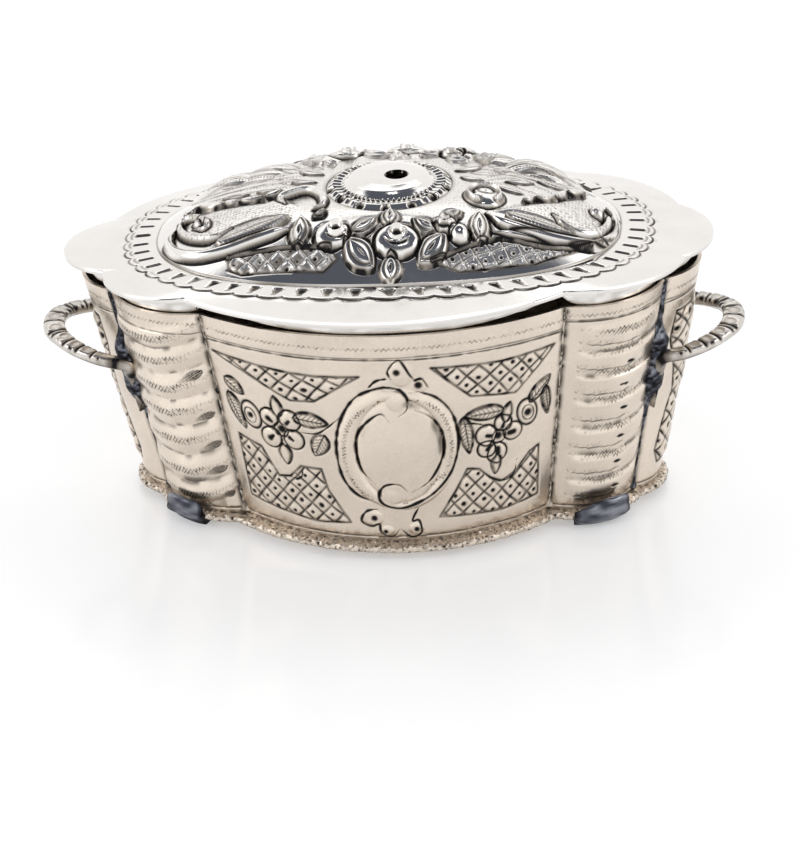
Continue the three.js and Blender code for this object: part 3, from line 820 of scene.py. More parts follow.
TOP_BUD = ((2.1, 43.1), (1.5, 45.5), (4.1, 48.0), (6.4, 44.1), (7.4, 42.6))
BUD_SIDES = (((-3.2, 41.1), (-1.3, 42.9), (1.3, 43.5)), ((6.9, 42.6), (8.9, 43.0), (10.3, 40.5)))
TREFOIL = (
    ((-3.4, 8.9), (-6.5, 8.2), (-8.0, 5.5), (-5.7, 4.1), (-3.7, 4.8), (-3.3, 2.6), (-0.9, 1.3), (1.5, 3.1)),
    ((1.5, 3.1), (4.2, 1.1), (6.6, 2.3), (6.2, 5.5), (4.6, 5.6), (6.5, 9.3)),
)
PANEL_PITS = (
    ((3.4, 45.1), 0.7), ((8.0, 41.6), 0.8), ((-4.7, 6.4), 0.7), ((-2.2, 2.7), 0.5), ((5.5, 3.2), 0.6),
)
# Leaves as base, tip, width and vein step
PANEL_LEAVES = (
    ((-25.5, 31.4), (-26.1, 36.8), 3.0, 0.0), ((-25.5, 24.0), (-25.2, 18.6), 3.4, 0.0),
    ((-39.3, 38.7), (-34.4, 35.3), 3.6, 1.0), ((-39.1, 35.0), (-35.8, 25.7), 3.6, 0.9),
    ((-21.7, 32.0), (-13.4, 31.2), 4.0, 1.1), ((-14.6, 28.1), (-17.6, 22.3), 4.4, 1.0),
    ((27.9, 28.7), (29.4, 33.6), 2.6, 0.0), ((27.7, 32.0), (18.3, 32.0), 3.8, 1.1),
    ((17.9, 31.8), (19.3, 22.0), 3.4, 1.0), ((34.3, 32.2), (39.8, 37.7), 3.2, 1.0),
    ((38.4, 35.4), (39.7, 27.4), 2.6, 0.9), ((26.1, 20.5), (25.7, 15.1), 2.6, 0.0),
)
# Flowers as middle, eye radius and petals, each petal as its middle and radius
PANEL_FLOWERS = (
    ((-25.4, 28.0), 1.1, ((-28.3, 30.7, 2.3), (-22.9, 30.8, 2.6), (-22.5, 25.8, 2.5), (-28.5, 25.3, 2.6))),
    ((-33.3, 30.2), 0.8, ()),
    ((26.5, 25.2), 1.05,
     ((26.1, 20.9, 2.5), (30.2, 25.7, 2.3), (27.6, 28.5, 2.1), (23.4, 26.1, 2.5), (23.4, 22.4, 2.1))),
    ((33.9, 29.7), 1.0, ()),
)
PANEL_STEMS = (
    ((-20.3, 28.1), (-16.5, 28.3), (-13.2, 30.6), (-10.5, 33.1)),
    ((21.5, 17.4), (24.5, 14.3), (27.6, 12.8), (30.7, 13.9), (31.5, 17.7)),
    ((-25.1, 15.4), (-23.3, 15.0), (-21.8, 16.2), (-21.5, 18.6)),
    ((17.6, 30.2), (20.4, 29.7), (23.2, 28.8)),
)
RIM_WRIGGLE, RIM_LINES, FOOT_LINE = 50.9, (48.7, 48.1), 1.3
# Half widths of the long and the end panels, and rounded swells as middle, radii or radius, and lift
PANEL_HALF, END_HALF = 42.4, 17.0
SCROLL_ROLLS = (((2.8, 37.4), (2.6, 3.2)), ((0.3, 12.9), (3.2, 3.0)))
TOP_MOUNDS = (((4.3, 44.5), (2.7, 3.0), 0.5), ((8.4, 41.5), (1.8, 1.6), 0.4))
TREFOIL_MOUNDS = (((-5.1, 6.4), 2.6), ((5.4, 3.4), 1.9), ((-1.8, 2.9), 1.7))


def drawn(across, height):
    """A line from left to right at a height, which may vary along it."""
    return np.stack([across, np.broadcast_to(height, across.shape)], -1)


def chase_rim(work, half, wriggle, lines):
    """The rim band: a wriggled line over one or two scored ones."""
    across = np.linspace(-half, half, 25)
    work.wriggle(drawn(across, wriggle), 1.1, 0.35, 0.18, 0.08, 0.85)
    for k, level in enumerate(lines):
        work.groove(drawn(across, level + 0.12 * noise(across / 9, 0, 3 + k)), 0.38, 0.16, 0.55 + 0.25 * k)


def chase_foot(work, half):
    """One line along the foot, over a mottled darkening near the foot."""
    across = np.linspace(-half, half, 25)
    work.groove(drawn(across, FOOT_LINE + 0.15 * noise(across / 8, 0, 8)), 0.45, 0.2, 0.65)
    work.stain_and_shade(0.5 * smooth(1.3, 0.2, work.y) * (0.6 + 0.4 * noise(work.x / 1.2, work.y / 0.8, 9)))


def stain_seams(work, half, width, steady, step, seed):
    """Tarnish up both seams of a wall, steady for a share of its strength and mottled for the rest."""
    mottled = steady + (1 - steady) * noise(work.y / step, 0, seed)
    work.stain_and_shade(bell(half - np.abs(work.x), width) * mottled)


def chase_medallion(work):
    """An oval cushion in a band of two scrolls, each with a wriggled line and a rolled end, and brushed
    tarnish in broad marks where the cushion meets the band."""
    at, half, cushion = MEDALLION["at"], MEDALLION["half"], MEDALLION["cushion"]
    x, y = work.x - at[0], work.y - at[1]
    outer = np.hypot(x / half[0], y / half[1])
    inner = np.hypot((x - 0.5) / cushion[0], (y + 0.2) / cushion[1])
    share = np.clip((inner - 1) / np.maximum(inner - outer, 1e-6), 0, 1)
    work.lift += MEDALLION["band"] * np.where((inner > 1) & (outer < 1), np.sin(np.pi * share) ** 0.8, 0)
    work.lift += MEDALLION["lift"] * np.clip(1 - inner**2, 0, 1) ** 0.55
    brushed = bell(inner - 0.93, 0.07) * smooth(-0.1, 0.7, noise(x / 3.2, y / 4.5, 33))
    work.stain_and_shade(0.75 * brushed * (0.75 + 0.25 * noise(x / 0.5, y / 1.8, 34)))
    for middle, radii in SCROLL_ROLLS:
        work.mound(middle, radii, 1.15, power=0.6)
    for line in (LEFT_SCROLL, RIGHT_SCROLL):
        work.groove(curve(line), 0.75, 0.4, taper=0.12)
    for line in (LEFT_INSIDE, RIGHT_INSIDE):
        work.groove(curve(line), 0.7, 0.32, taper=0.3)
    for line in (LEFT_WRIGGLE, RIGHT_WRIGGLE):
        work.wriggle(curve(line), 0.9, 0.42, 0.22, 0.1, 0.95)


def chase_flower(work, middle, eye, petals):
    """Overlapping petals, each with a dark pit, round a large dark eye; without petals, an oval bud."""
    if not petals:
        work.mound(middle, (2.5, 3.4), 0.5, turn=15, power=0.6, edge=1.0)
        work.groove(oval(middle, (1.5, 2.0), turn=15), 0.4, 0.15, 0.75)
    for px, py, radius in petals:
        work.mound((px, py), (radius, radius), 0.6, power=0.6, edge=1.0)
        work.groove(oval((px, py), (radius + 0.1, radius + 0.1)), 0.45, 0.15, 0.95)
    for px, py, _ in petals:
        toward = (0.72 * px + 0.28 * middle[0], 0.72 * py + 0.28 * middle[1])
        work.groove([(px, py), toward], 1.15, 0.3)
    if petals:
        work.groove(oval(middle, (eye + 0.75, eye + 0.75)), 0.4, 0.16, 0.95)
    work.dot(middle, eye, 0.4)


def chase_panel(work):
    """The long panels: border, medallion with bud and trefoil, four lattice fields and two flower sprays."""
    chase_rim(work, PANEL_HALF, RIM_WRIGGLE, RIM_LINES)
    chase_foot(work, PANEL_HALF)
    for corners, slopes in PANEL_FIELDS:
        work.lattice(corners, slopes)
    for flower in PANEL_FLOWERS:
        chase_flower(work, *flower)
    for base, tip, width, vein in PANEL_LEAVES:
        work.leaf(base, tip, width, 0.4, vein, 0.32)
    for stem in PANEL_STEMS:
        work.groove(curve(stem), 0.5, 0.2, 0.95, taper=0.3)
    chase_medallion(work)
    for at, radii, lift in TOP_MOUNDS:
        work.mound(at, radii, lift)
    for line in (TOP_BUD, *BUD_SIDES, *TREFOIL):
        work.groove(curve(line), 0.6, 0.3, taper=0.15)
    for at, radius in TREFOIL_MOUNDS:
        work.mound(at, (radius, radius * 0.8), 0.45)
    for at, radius in PANEL_PITS:
        work.dot(at, radius * 1.15, 0.35)
    stain_seams(work, PANEL_HALF + 0.2, 0.8, 0.6, 1.1, 17)


# Corner columns: heights of the wriggled rows on the swells and of the valleys under them. The left ones'
# rows climb towards the long panel by rise mm at CLIMB_AT mm along, and the right ones' sag in the middle.
# Reach is where the rows start and end, rim the heights of the rim's lines. Dashes are strokes, and
# wedges are hatched strokes filled with painted shade under the swells
LEFT_COLUMN = {
    "rows": (47.0, 41.1, 33.7, 27.2, 19.2, 10.6, 3.6), "valleys": (44.2, 37.4, 30.4, 23.2, 15.0, 7.2, 1.4),
    "rise": 3.0, "sag": 0.0, "reach": (-12.4, 12.6), "rim": (51.8, (49.4,)), "depth": 0.75,
    "wedges": (((4.0, 35.6), (11.7, 39.6)), ((5.6, 25.0), (12.2, 28.4)), ((5.4, 17.0), (12.2, 20.4)),
               ((4.4, 10.0), (12.2, 13.6)), ((7.6, 4.0), (12.4, 6.2))),
    "dashes": (),
}
RIGHT_COLUMN = {
    "rows": (47.3, 42.3, 36.6, 29.6, 21.9, 14.5, 7.9), "valleys": (43.6, 37.2, 30.6, 23.6, 16.4, 9.4, 3.0),
    "rise": 0.0, "sag": 1.6, "reach": (-9.5, 12.4), "rim": (52.0, (50.9, 50.4)), "depth": 0.5,
    "wedges": (),
    "dashes": (((2.0, 38.5), (4.7, 38.2)), ((0.8, 32.8), (3.5, 32.6)), ((1.8, 26.5), (4.6, 26.2)),
              ((2.1, 18.9), (4.9, 18.6)), ((2.3, 12.0), (5.1, 11.7)), ((2.7, 5.3), (5.5, 5.0))),
}
COLUMN_HALF, CLIMB_AT = 13.9, 10.2


def column_climb(kind, x):
    """How much higher a row stands at x than on the far side of the column."""
    return kind["rise"] * (np.clip(x, 0, None) / CLIMB_AT) ** 1.4


def chase_column(work, kind, flip):
    """Corner columns: convex swells between valleys darkened with painted shade, wriggled rows on the swells,
    short dark strokes and hatched wedges filled with painted shade. The wave is a raised cosine of a phase
    that is whole at each row and half at each valley."""
    x = work.x = work.x * flip
    level = work.y - column_climb(kind, x)
    sagged = level + kind["sag"] * (1 - np.clip(x / COLUMN_HALF, -1, 1) ** 2)
    stops = np.sort(np.concatenate([kind["rows"], kind["valleys"]]))
    phase = 0.5 * np.interp(sagged, stops, np.arange(len(stops))[::-1])
    low, high = kind["reach"]
    body = smooth(low - 1.2, low + 2.0, x) * smooth(high + 1.0, high - 1.6, x)
    body = body * smooth(50.0, 47.8, level) * smooth(0.8, 2.4, work.y)
    work.lift += kind["depth"] * (0.5 + 0.5 * np.cos(2 * np.pi * phase)) ** 0.6 * body
    # Painted shade in the valleys under the swells, mottled from row to row
    valley = (0.5 - 0.5 * np.cos(2 * np.pi * phase)) ** 8 * body
    work.stain_and_shade(0.55 * valley * smooth(-0.1, 0.8, noise(x / 2.2, np.round(phase) * 1.7, 51)))
    chase_rim(work, COLUMN_HALF, *kind["rim"])
    chase_foot(work, COLUMN_HALF)
    across = np.linspace(low, high, 31)
    bowl = kind["sag"] * (across / COLUMN_HALF) ** 2
    for k, row in enumerate(kind["rows"]):
        line = drawn(across, row + column_climb(kind, across) + bowl + 0.3 * noise(across / 3, 0, k))
        work.wriggle(line + [0.0, 0.42], 1.0, 0.42, 0.23, 0.1, 1.2, 0.4)
        work.wriggle((line + [0.4, -0.45])[4:-5], 0.95, 0.42, 0.22, 0.08, 1.15, 0.5)
    for row in kind["valleys"] if kind["sag"] else ():
        line = drawn(across, row + 0.4 + bowl + 0.25 * noise(across, 0, 52))[:22]
        work.groove(line, 0.4, 0.12, 0.6, taper=0.2)
        work.wriggle((line + [0.0, 0.7])[:11], 0.62, 0.5, 0.17, 0.06, 0.5)
    # The wedges: hatching filled with painted shade under the swells
    for wedge in kind["wedges"]:
        work.hatch(np.array(wedge), 2.2, 0.5)
    for dash in kind["dashes"]:
        work.groove(np.array(dash), 0.85, 0.3, taper=0.3)
    stain_seams(work, COLUMN_HALF - 0.2, 0.8, 0.65, 1.0, 19)


END_FIELD = (
    (-12.6, 44.8), (12.6, 44.8), (13.2, 38.0), (9.4, 29.5), (7.8, 24.0), (9.6, 18.5), (11.6, 9.0),
    (9.0, 5.2), (-9.0, 5.2), (-11.6, 9.0), (-9.6, 18.5), (-7.8, 24.0), (-9.4, 29.5), (-13.2, 38.0),
)
END_OVAL = {"at": (0, 26.0), "radii": (4.4, 6.4)}  # the plain cushion in the middle of an end panel's lattice


def chase_end(work, narrow, pitch, spot):
    """End panels: a raised lattice field, narrowed by a factor, inside a plain margin that widens at the
    handle's height."""
    chase_rim(work, END_HALF, RIM_WRIGGLE, RIM_LINES)
    chase_foot(work, END_HALF)
    corners = np.array(END_FIELD) * [narrow, 1.0]
    gap, _, _ = locate(work.x, work.y, np.vstack([corners, corners[:1]]))
    work.lift += 0.5 * inside(work.x, work.y, corners) * smooth(0, 2.0, gap)
    work.lattice(corners, (40, -40), pitch, lift=0.0, line=0.34, spot=spot, depth=0.3)
    at, (wide, high) = END_OVAL["at"], END_OVAL["radii"]
    work.groove(oval(at, (wide * narrow, high)), 0.5, 0.25, 0.9)
    work.mound(at, ((wide - 0.3) * narrow, high - 0.3), 1.1, power=0.6)
    stain_seams(work, END_HALF + 0.2, 1.0, 0.7, 1.4, 23)


# The gap at each side of a seam, which the solder fills, and the quads up a wall
SEAM_GAP, WALL_ROWS = 0.15, 216


def build_wall(name, side, columns, chase):
    """One wall: a ruled sheet moved out along its normal by the chased relief."""
    body = settings().body
    length = arc(*mouth_arcs()[side], 0.0)[2]
    trim = SEAM_GAP / arc(*foot_arcs()[side], 0.0)[2]
    u = np.linspace(trim, 1 - trim, columns + 1)[:, None]
    t = np.linspace(0, 1, WALL_ROWS + 1)[None, :]
    work = Chasing(*np.broadcast_arrays((u - 0.5) * length, t * mm(body.height)))
    chase(work)
    lift = work.lift + 0.10 * noise(u * length / 9, t * 6, 61 + side)
    depth = soften(lift, SOFTENED, False)[::COARSE, ::COARSE] - mm(body.sheet)
    outer = on_wall(side, u, t, lift)
    inner = on_wall(side, u[::COARSE], t[:, ::COARSE], depth)
    obj = shell(f"{name}_shell", outer, inner, work.dark, work.matt, wall_silver())
    finish_piece(obj, "box", "wall_silver", name)


def finish_piece(obj, body, slot, *nodes):
    """Hangs a finished piece on its body, in place of its solid."""
    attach(obj, body)
    if nodes:
        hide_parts(*nodes)


class SILVERBOX_OT_long_panels(bpy.types.Operator):
    """Front and back panels with their chased medallions, lattice fields and sprays"""

    bl_idname = "silverbox.long_panels"
    bl_label = "Long Panels"

    def execute(self, context):
        build_wall("front_panel", 0, 340, chase_panel)
        build_wall("back_panel", 4, 340, chase_panel)
        return {"FINISHED"}


class SILVERBOX_OT_columns(bpy.types.Operator):
    """The four fluted corner columns"""

    bl_idname = "silverbox.columns"
    bl_label = "Corner Columns"

    def execute(self, context):
        places = (
            ("front_right", 1, RIGHT_COLUMN, 1), ("back_right", 3, RIGHT_COLUMN, -1),
            ("back_left", 5, LEFT_COLUMN, -1), ("front_left", 7, LEFT_COLUMN, 1),
        )
        for corner, side, kind, flip in places:
            build_wall(f"column_{corner}", side, 112, lambda work, k=kind, f=flip: chase_column(work, k, f))
        return {"FINISHED"}


class SILVERBOX_OT_end_panels(bpy.types.Operator):
    """The two bowed end panels"""

    bl_idname = "silverbox.end_panels"
    bl_label = "End Panels"

    def execute(self, context):
        build_wall("end_panel_right", 2, 136, lambda work: chase_end(work, 0.95, 4.4, 0.75))
        build_wall("end_panel_left", 6, 136, lambda work: chase_end(work, 0.7, 4.6, 0.8))
        return {"FINISHED"}


# The plate: points for each round of its outline, and its edge's roughness and shape, as shares of the
# thickness and how far the edge stands out there
PLATE = {"thickness": 1.4, "steps": 1800, "round": 330.0, "rough": 0.22}
PLATE_EDGE = ((0.0, -0.35), (0.08, 0.0), (0.35, 0.12), (0.62, 0.12), (0.9, -0.05))
PLATE_MIDDLE = (0.4, 0.75, 0.9)
LEDGE_LINES = np.arange(0.25, 4.4, 0.45)


def kind_of(side):
    """0 for a long panel's side, 1 for a column's and 2 for an end panel's."""
    return (0, 1, 2, 1)[side % 4]


def plate_line():
    """The plate's outline: each foot arc moved out by its ledge, cut where it enters the next one's circle.
    Returns the points on the ledge's edge and the outward normals."""
    ledge = mm(settings().body.plate)
    circles = []
    for side, (start, end, rise) in enumerate(foot_arcs()):
        middle, normal, _ = arc(start, end, rise, 0.5)
        half = math.hypot(*(end - start)) / 2
        radius = (half * half + rise * rise) / (2 * rise)
        circles.append((middle - normal * radius, radius + ledge[kind_of(side)]))
    lines, outs = [], []
    for side, lobe in enumerate(foot_arcs()):
        centre, reach = circles[side]
        count = int(PLATE["steps"] * arc(*lobe, 0.0)[2] / PLATE["round"])
        _, normal, _ = arc(*lobe, (np.arange(count) + 0.5) / count)
        line = centre + normal * reach
        clear = np.ones(count, bool)
        for neighbour in (side - 1, (side + 1) % 8):
            other, other_reach = circles[neighbour]
            clear &= np.linalg.norm(line - other, axis=1) >= other_reach
        lines.append(line[clear])
        outs.append(normal[clear])
    return np.vstack(lines), np.vstack(outs)


class SILVERBOX_OT_base_plate(bpy.types.Operator):
    """The base plate: a rough ledge all round, its edge trimmed by hand"""

    bl_idname = "silverbox.base_plate"
    bl_label = "Base Plate"

    def execute(self, context):
        line, out = plate_line()
        along = walk(line)
        low, thickness = mm(PLATE_LOW), PLATE["thickness"]
        rings, dark = [], []

        def ring(points, z, tarnish):
            """Adds a ring of points at a height."""
            rings.append(np.column_stack([points, np.broadcast_to(z, len(points))]))
            dark.append(np.broadcast_to(tarnish, len(points)))

        def teeth(seed):
            """How far the trimmed edge stands out at each point."""
            return PLATE["rough"] * (noise(along / 0.5, seed, 71) + 0.8 * noise(along / 1.4, 0, 72))

        for share in PLATE_MIDDLE:
            ring(line * share, low, 0.15)
        for level, swell in PLATE_EDGE:
            # Grime specks, and on the lowest row painted shade under the plate's edge
            grime_and_shade = 0.1 + 0.8 * smooth(0.1, 0.9, noise(along / 0.45, level * 7, 73)) + 0.25 * (level < 0.1)
            ring(line + out * (swell + teeth(level * 9))[:, None], low + thickness * level, grime_and_shade)
        for inward in LEDGE_LINES:
            rough = noise(along / 0.55, inward * 3, 74)
            z = low + thickness + 0.32 * rough * smooth(4.0, 2.5, inward)
            grime_and_shade = 0.04 + 0.85 * smooth(0.3, 0.9, noise(along / 0.4, inward * 3, 75))
            ring(line + out * (0.4 * teeth(inward) - inward)[:, None], z, grime_and_shade)
        for share in PLATE_MIDDLE[1::-1]:
            ring(line * share, low + thickness, 0.15)
        dark = np.clip(np.array(dark), 0, 1)
        obj = loft("base_plate_rough_edge", rings, dark, 0.4, wall_silver())
        finish_piece(obj, "box", "wall_silver", "base_plate")
        return {"FINISHED"}


def seam_frame(side, rows):
    """The seam before a side, from foot to rim: its points, and its outward and sideways directions."""
    t = np.linspace(0, 1, rows)
    line = on_wall(side, 0.0, t)
    out = on_wall(side - 1, 1.0, t, 1.0) + on_wall(side, 0.0, t, 1.0) - 2 * line
    out /= np.linalg.norm(out, axis=1, keepdims=True)
    return line, out, np.stack([out[:, 1], -out[:, 0], np.zeros(rows)], -1)


def tube(centres, sides, ups, half_width, half_height, around):
    """Rings of an ellipse with the given half sizes, swept along centres between side and up directions."""
    angle = np.linspace(0, 2 * np.pi, around, endpoint=False)[None, :, None]
    return (centres[:, None, :] + sides[:, None, :] * np.cos(angle) * half_width[:, None, None]
            + ups[:, None, :] * np.sin(angle) * half_height[:, None, None])


SEAMS = ("front_left", "front_right", "end_right_front", "end_right_back",
         "back_right", "back_left", "end_left_back", "end_left_front")
# Heights between which the solder swells below the handles' roots, and swells and shrinks round them
SOLDER = {"rows": 300, "around": 20, "trail": (14.0, 21.0), "swell": (21.0, 29.0), "shrink": (45.0, 38.5)}


class SILVERBOX_OT_solder(bpy.types.Operator):
    """Solder along the eight seams, thick and dark round the handles' roots, with a blob at each foot"""

    bl_idname = "silverbox.solder"
    bl_label = "Seam Solder"

    def execute(self, context):
        rows, around = SOLDER["rows"], SOLDER["around"]
        height = np.linspace(0, mm(settings().body.height), rows)
        for side, name in enumerate(SEAMS):
            line, out, across = seam_frame(side, rows)
            at_end = name.startswith("end")
            lump = noise(height / 2.6, side * 3, 81) + 0.5 * noise(height / 0.9, side, 82)
            blob = bell(height, 2.0)
            wide = 0.55 + 0.16 * lump + 1.2 * blob
            deep = 0.5 + 0.12 * lump + 0.6 * blob
            mass = np.zeros(rows)
            if at_end:
                mass = smooth(*SOLDER["swell"], height) * smooth(*SOLDER["shrink"], height)
                trail = smooth(*SOLDER["trail"], height)
                wide += 0.55 * trail + 1.4 * mass
                deep += 0.4 * trail + 1.1 * mass
            ends = np.clip(np.minimum(np.arange(rows), np.arange(rows)[::-1]) / 4.0, 0.15, 1)
            centres = line + (1.3 * mass - 0.3)[:, None] * out
            rings = tube(centres, across, out, wide * ends, deep * ends, around)
            grain = noise(height[:, None] / 0.55, np.arange(around)[None, :] * 1.1 + side, 83)
            rings += out[:, None, :] * (0.10 * grain)[..., None]
            dark = np.clip((0.55 if at_end else 0.42) + 0.2 * lump[:, None] + 0.5 * grain, 0, 1)
            obj = loft(f"seam_solder_{name}", rings, dark, 0.3, dark_silver() if at_end else wall_silver())
            finish_piece(obj, "box", "dark_silver" if at_end else "wall_silver")
        return {"FINISHED"}


FOOT = {"hook": 4.0, "clear": 0.35, "thickness": 1.0, "top": 6.8, "stations": 57}
# The shares of the column's foot where the right and the left feet end, and how far their toes are rounded up
FOOT_ENDS = ((0.25, 0.75, 0.5), (0.26, 0.63, 1.9))


def foot_section(inner, under, top, swell, thickness, toe):
    """Outline of a foot's cross section, from under the plate round the toe and up to the lug's lip. Each
    point is a distance out from the column's foot and a height."""
    outer = inner + thickness
    outside = curve([
        (outer - 1.9, 0.0), (outer - 0.8, 0.15 + toe), (outer + 0.1, 0.9 + toe), (outer + 0.55 * swell, 2.6),
        (outer + 0.2, top - 0.9), (inner + 0.5, top), (inner + 0.05, top - 0.3),
    ], 5)
    return np.vstack([[(-FOOT["hook"], 0.0)], outside, [(inner, under), (-FOOT["hook"], under)]])


class SILVERBOX_OT_feet(bpy.types.Operator):
    """Four dark folded lugs that hook under the plate and clasp the outer half of each column's foot"""

    bl_idname = "silverbox.feet"
    bl_label = "Feet"

    def execute(self, context):
        under = mm(PLATE_LOW) - FOOT["clear"]
        inner = mm(settings().body.plate)[1] + FOOT["clear"]
        for corner, side in (("front_right", 1), ("back_right", 3), ("back_left", 5), ("front_left", 7)):
            near, far, toe = FOOT_ENDS[side // 4]
            before_end = side in (1, 5)
            toward = np.linspace(0, 1, FOOT["stations"])
            if before_end:
                toward = toward[::-1]
            away = far + (near - far) * toward
            place, normal, _ = arc(*foot_arcs()[side], 1 - away if before_end else away)
            full = (1 - np.abs(2 * toward - 1) ** 5) ** 0.5
            slant = 0.62 + 0.38 * smooth(0.0, 0.55, toward) if before_end else 0.86 + 0.14 * full
            rings = []
            for k, station in enumerate(toward):
                top = under + (FOOT["top"] - under) * slant[k] * (0.75 + 0.25 * full[k])
                thickness = FOOT["thickness"] * (0.7 + 0.3 * full[k])
                section = foot_section(
                    inner, under, top, 0.55 + 0.45 * full[k], thickness, toe + 1.3 * (1 - full[k])
                )
                crease = 0.22 * noise(section[:, 0] * 0.9 + station * 5, section[:, 1] * 0.8 + side, 91)
                reach = section[:, 0] + crease * (section[:, 0] > inner + 0.2)
                rings.append(np.column_stack([place[k] + normal[k] * reach[:, None], section[:, 1]]))
            rings = np.array(rings)
            grain = noise(rings[..., 0] * 0.45, rings[..., 2] * 1.2 + rings[..., 1] * 0.4, 92)
            ends = smooth(0.75, 1.0, np.abs(2 * toward - 1))[:, None]
            # Painted shade towards the foot's lower edge, near the floor
            low_shade = 0.3 * smooth(1.8, 0.3, rings[..., 2])
            dark = np.clip(0.34 + 0.28 * grain + 0.45 * ends + low_shade, 0, 1)
            matt = 0.1 + 0.1 * grain
            obj = loft(f"foot_{corner}_lug", rings, dark, matt, foot_silver(), math.radians(40))
            finish_piece(obj, "box", "dark_silver", f"foot_{corner}")
        return {"FINISHED"}


# A handle's line stands off the wall by stand, and its shares root, tail and bend are heights up the wall
HANDLE = {"root": 0.66, "tail": 0.42, "bend": 0.6, "lift": 3.6, "stand": 1.9, "stations": 420, "around": 28}
# Which way the tails stand off the wall in plan, right (1) and left (-1): the left ones lie nearer the seam
TAIL_OUT = {1: (0.76, -0.65), -1: (0.3, -0.95)}
# The front half of the grip, as shares of the reach, places from back to front, and shares of the lift
GRIP_LINE = ((0.38, -14.2, 0.3), (0.72, -10.4, 0.65), (0.94, -5.4, 0.92), (1, 0, 1))
# The strap's heading in degrees and its width's share at each point, from the front tail to the middle
HANDLE_HEADINGS = (-40, -40, -40, -32, 2, 33, 63, 90)
HANDLE_WIDTHS = (0, 0.05, 0.1, 0.15, 0.25, 0.6, 0.95, 1)
# Cross grooves and hollows of the strap, as distances from its middle and half widths
STRAP_GROOVES = ((2.9, 0.4), (7.4, 0.55), (8.6, 0.3), (12.4, 0.4), (16.0, 0.5), (19.8, 0.35))
STRAP_HOLLOWS = ((0.0, 1.7), (5.3, 1.2), (9.8, 1.0), (13.8, 1.0), (17.0, 1.1))


def handle_line(right):
    """Centre line of one strap: up the front tail, out round the grip and down the back tail, with the
    strap's heading and its width's share at each given point."""
    sizes = settings().handle
    reach = mm(sizes.reach) - mm(sizes.grip) / 2

    def seam(t):
        """The seam at the front tail, at share t up the wall."""
        return on_wall(1 if right > 0 else 6, 1.0, t)

    def beside(t, out):
        """The place off the seam where the tail runs."""
        x, y, z = seam(t)
        return (x + right * TAIL_OUT[right][0] * out, y + TAIL_OUT[right][1] * out, z)

    root, tail, bend, stand = (HANDLE[k] for k in ("root", "tail", "bend", "stand"))
    start, _, low = seam(root)
    half = [beside(t, stand) for t in (tail, (tail + bend) / 2, bend)]
    half.append(beside(root, stand + 1.2))
    for share, y, lift in GRIP_LINE:
        half.append((start + (right * reach - start) * share, y, low + HANDLE["lift"] * lift))
    points = half + [(x, -y, z) for x, y, z in half[-2::-1]]
    headings = [*HANDLE_HEADINGS, *(180 - a for a in HANDLE_HEADINGS[-2::-1])]
    return np.array(points), np.array(headings, float), np.array([*HANDLE_WIDTHS, *HANDLE_WIDTHS[-2::-1]])


def strap_relief(s, across):
    """Relief and tarnish of the strap's broad face: cross grooves cut at slightly different slants, hollows
    between them and small pits at its edges."""
    lift, dark = np.zeros_like(s * across), np.zeros_like(s * across)
    for at, wide in STRAP_GROOVES:
        for way in (-1, 1):
            cut = bell(s - way * at + 0.7 * way + (0.3 + 0.15 * way) * across, wide)
            lift = lift - 0.42 * cut
            dark = np.maximum(dark, 0.95 * cut)
    for at, radius in STRAP_HOLLOWS:
        for way in (-1, 1):
            r = np.hypot((s - way * at) / radius, across / 0.55)
            hollow = bell(r, 1, 4)
            lift = lift - 0.3 * hollow
            dark = np.maximum(dark, 0.4 * bell(r - 0.9, 0.25) + 0.15 * hollow)
    pits = smooth(0.25, 0.6, noise(s / 0.9, across * 2.2, 94)) * smooth(0.3, 0.8, np.abs(across))
    return lift - 0.15 * pits, np.maximum(dark, 0.9 * pits)


def round_off(v):
    """Turns a circle's cosine or sine into a rounded bar's."""
    return np.sign(v) * np.abs(v) ** 0.78


def strap_frame(right):
    """Stations along one strap: distances along it, its centre line, the width's share there, and the
    directions across and up from its broad face."""
    points, headings, widths = handle_line(right)
    fine = curve(points, 24)
    walked = walk(fine)
    s = np.linspace(0, walked[-1], HANDLE["stations"])
    centre = np.stack([np.interp(s, walked, fine[:, k]) for k in range(3)], -1)
    place = np.interp(s, walked, np.linspace(0, 1, len(fine)) * (len(points) - 1))
    heading = np.radians(np.interp(place, np.arange(len(headings)), headings))
    width = np.interp(place, np.arange(len(widths)), widths)
    along = np.gradient(centre, axis=0)
    along /= np.linalg.norm(along, axis=1, keepdims=True)
    across = np.stack([-right * np.sin(heading), np.cos(heading), np.zeros_like(heading)], -1)
    across -= along * (across * along).sum(1, keepdims=True)
    across /= np.linalg.norm(across, axis=1, keepdims=True)
    return s, centre, width, across, np.cross(along, across) * right


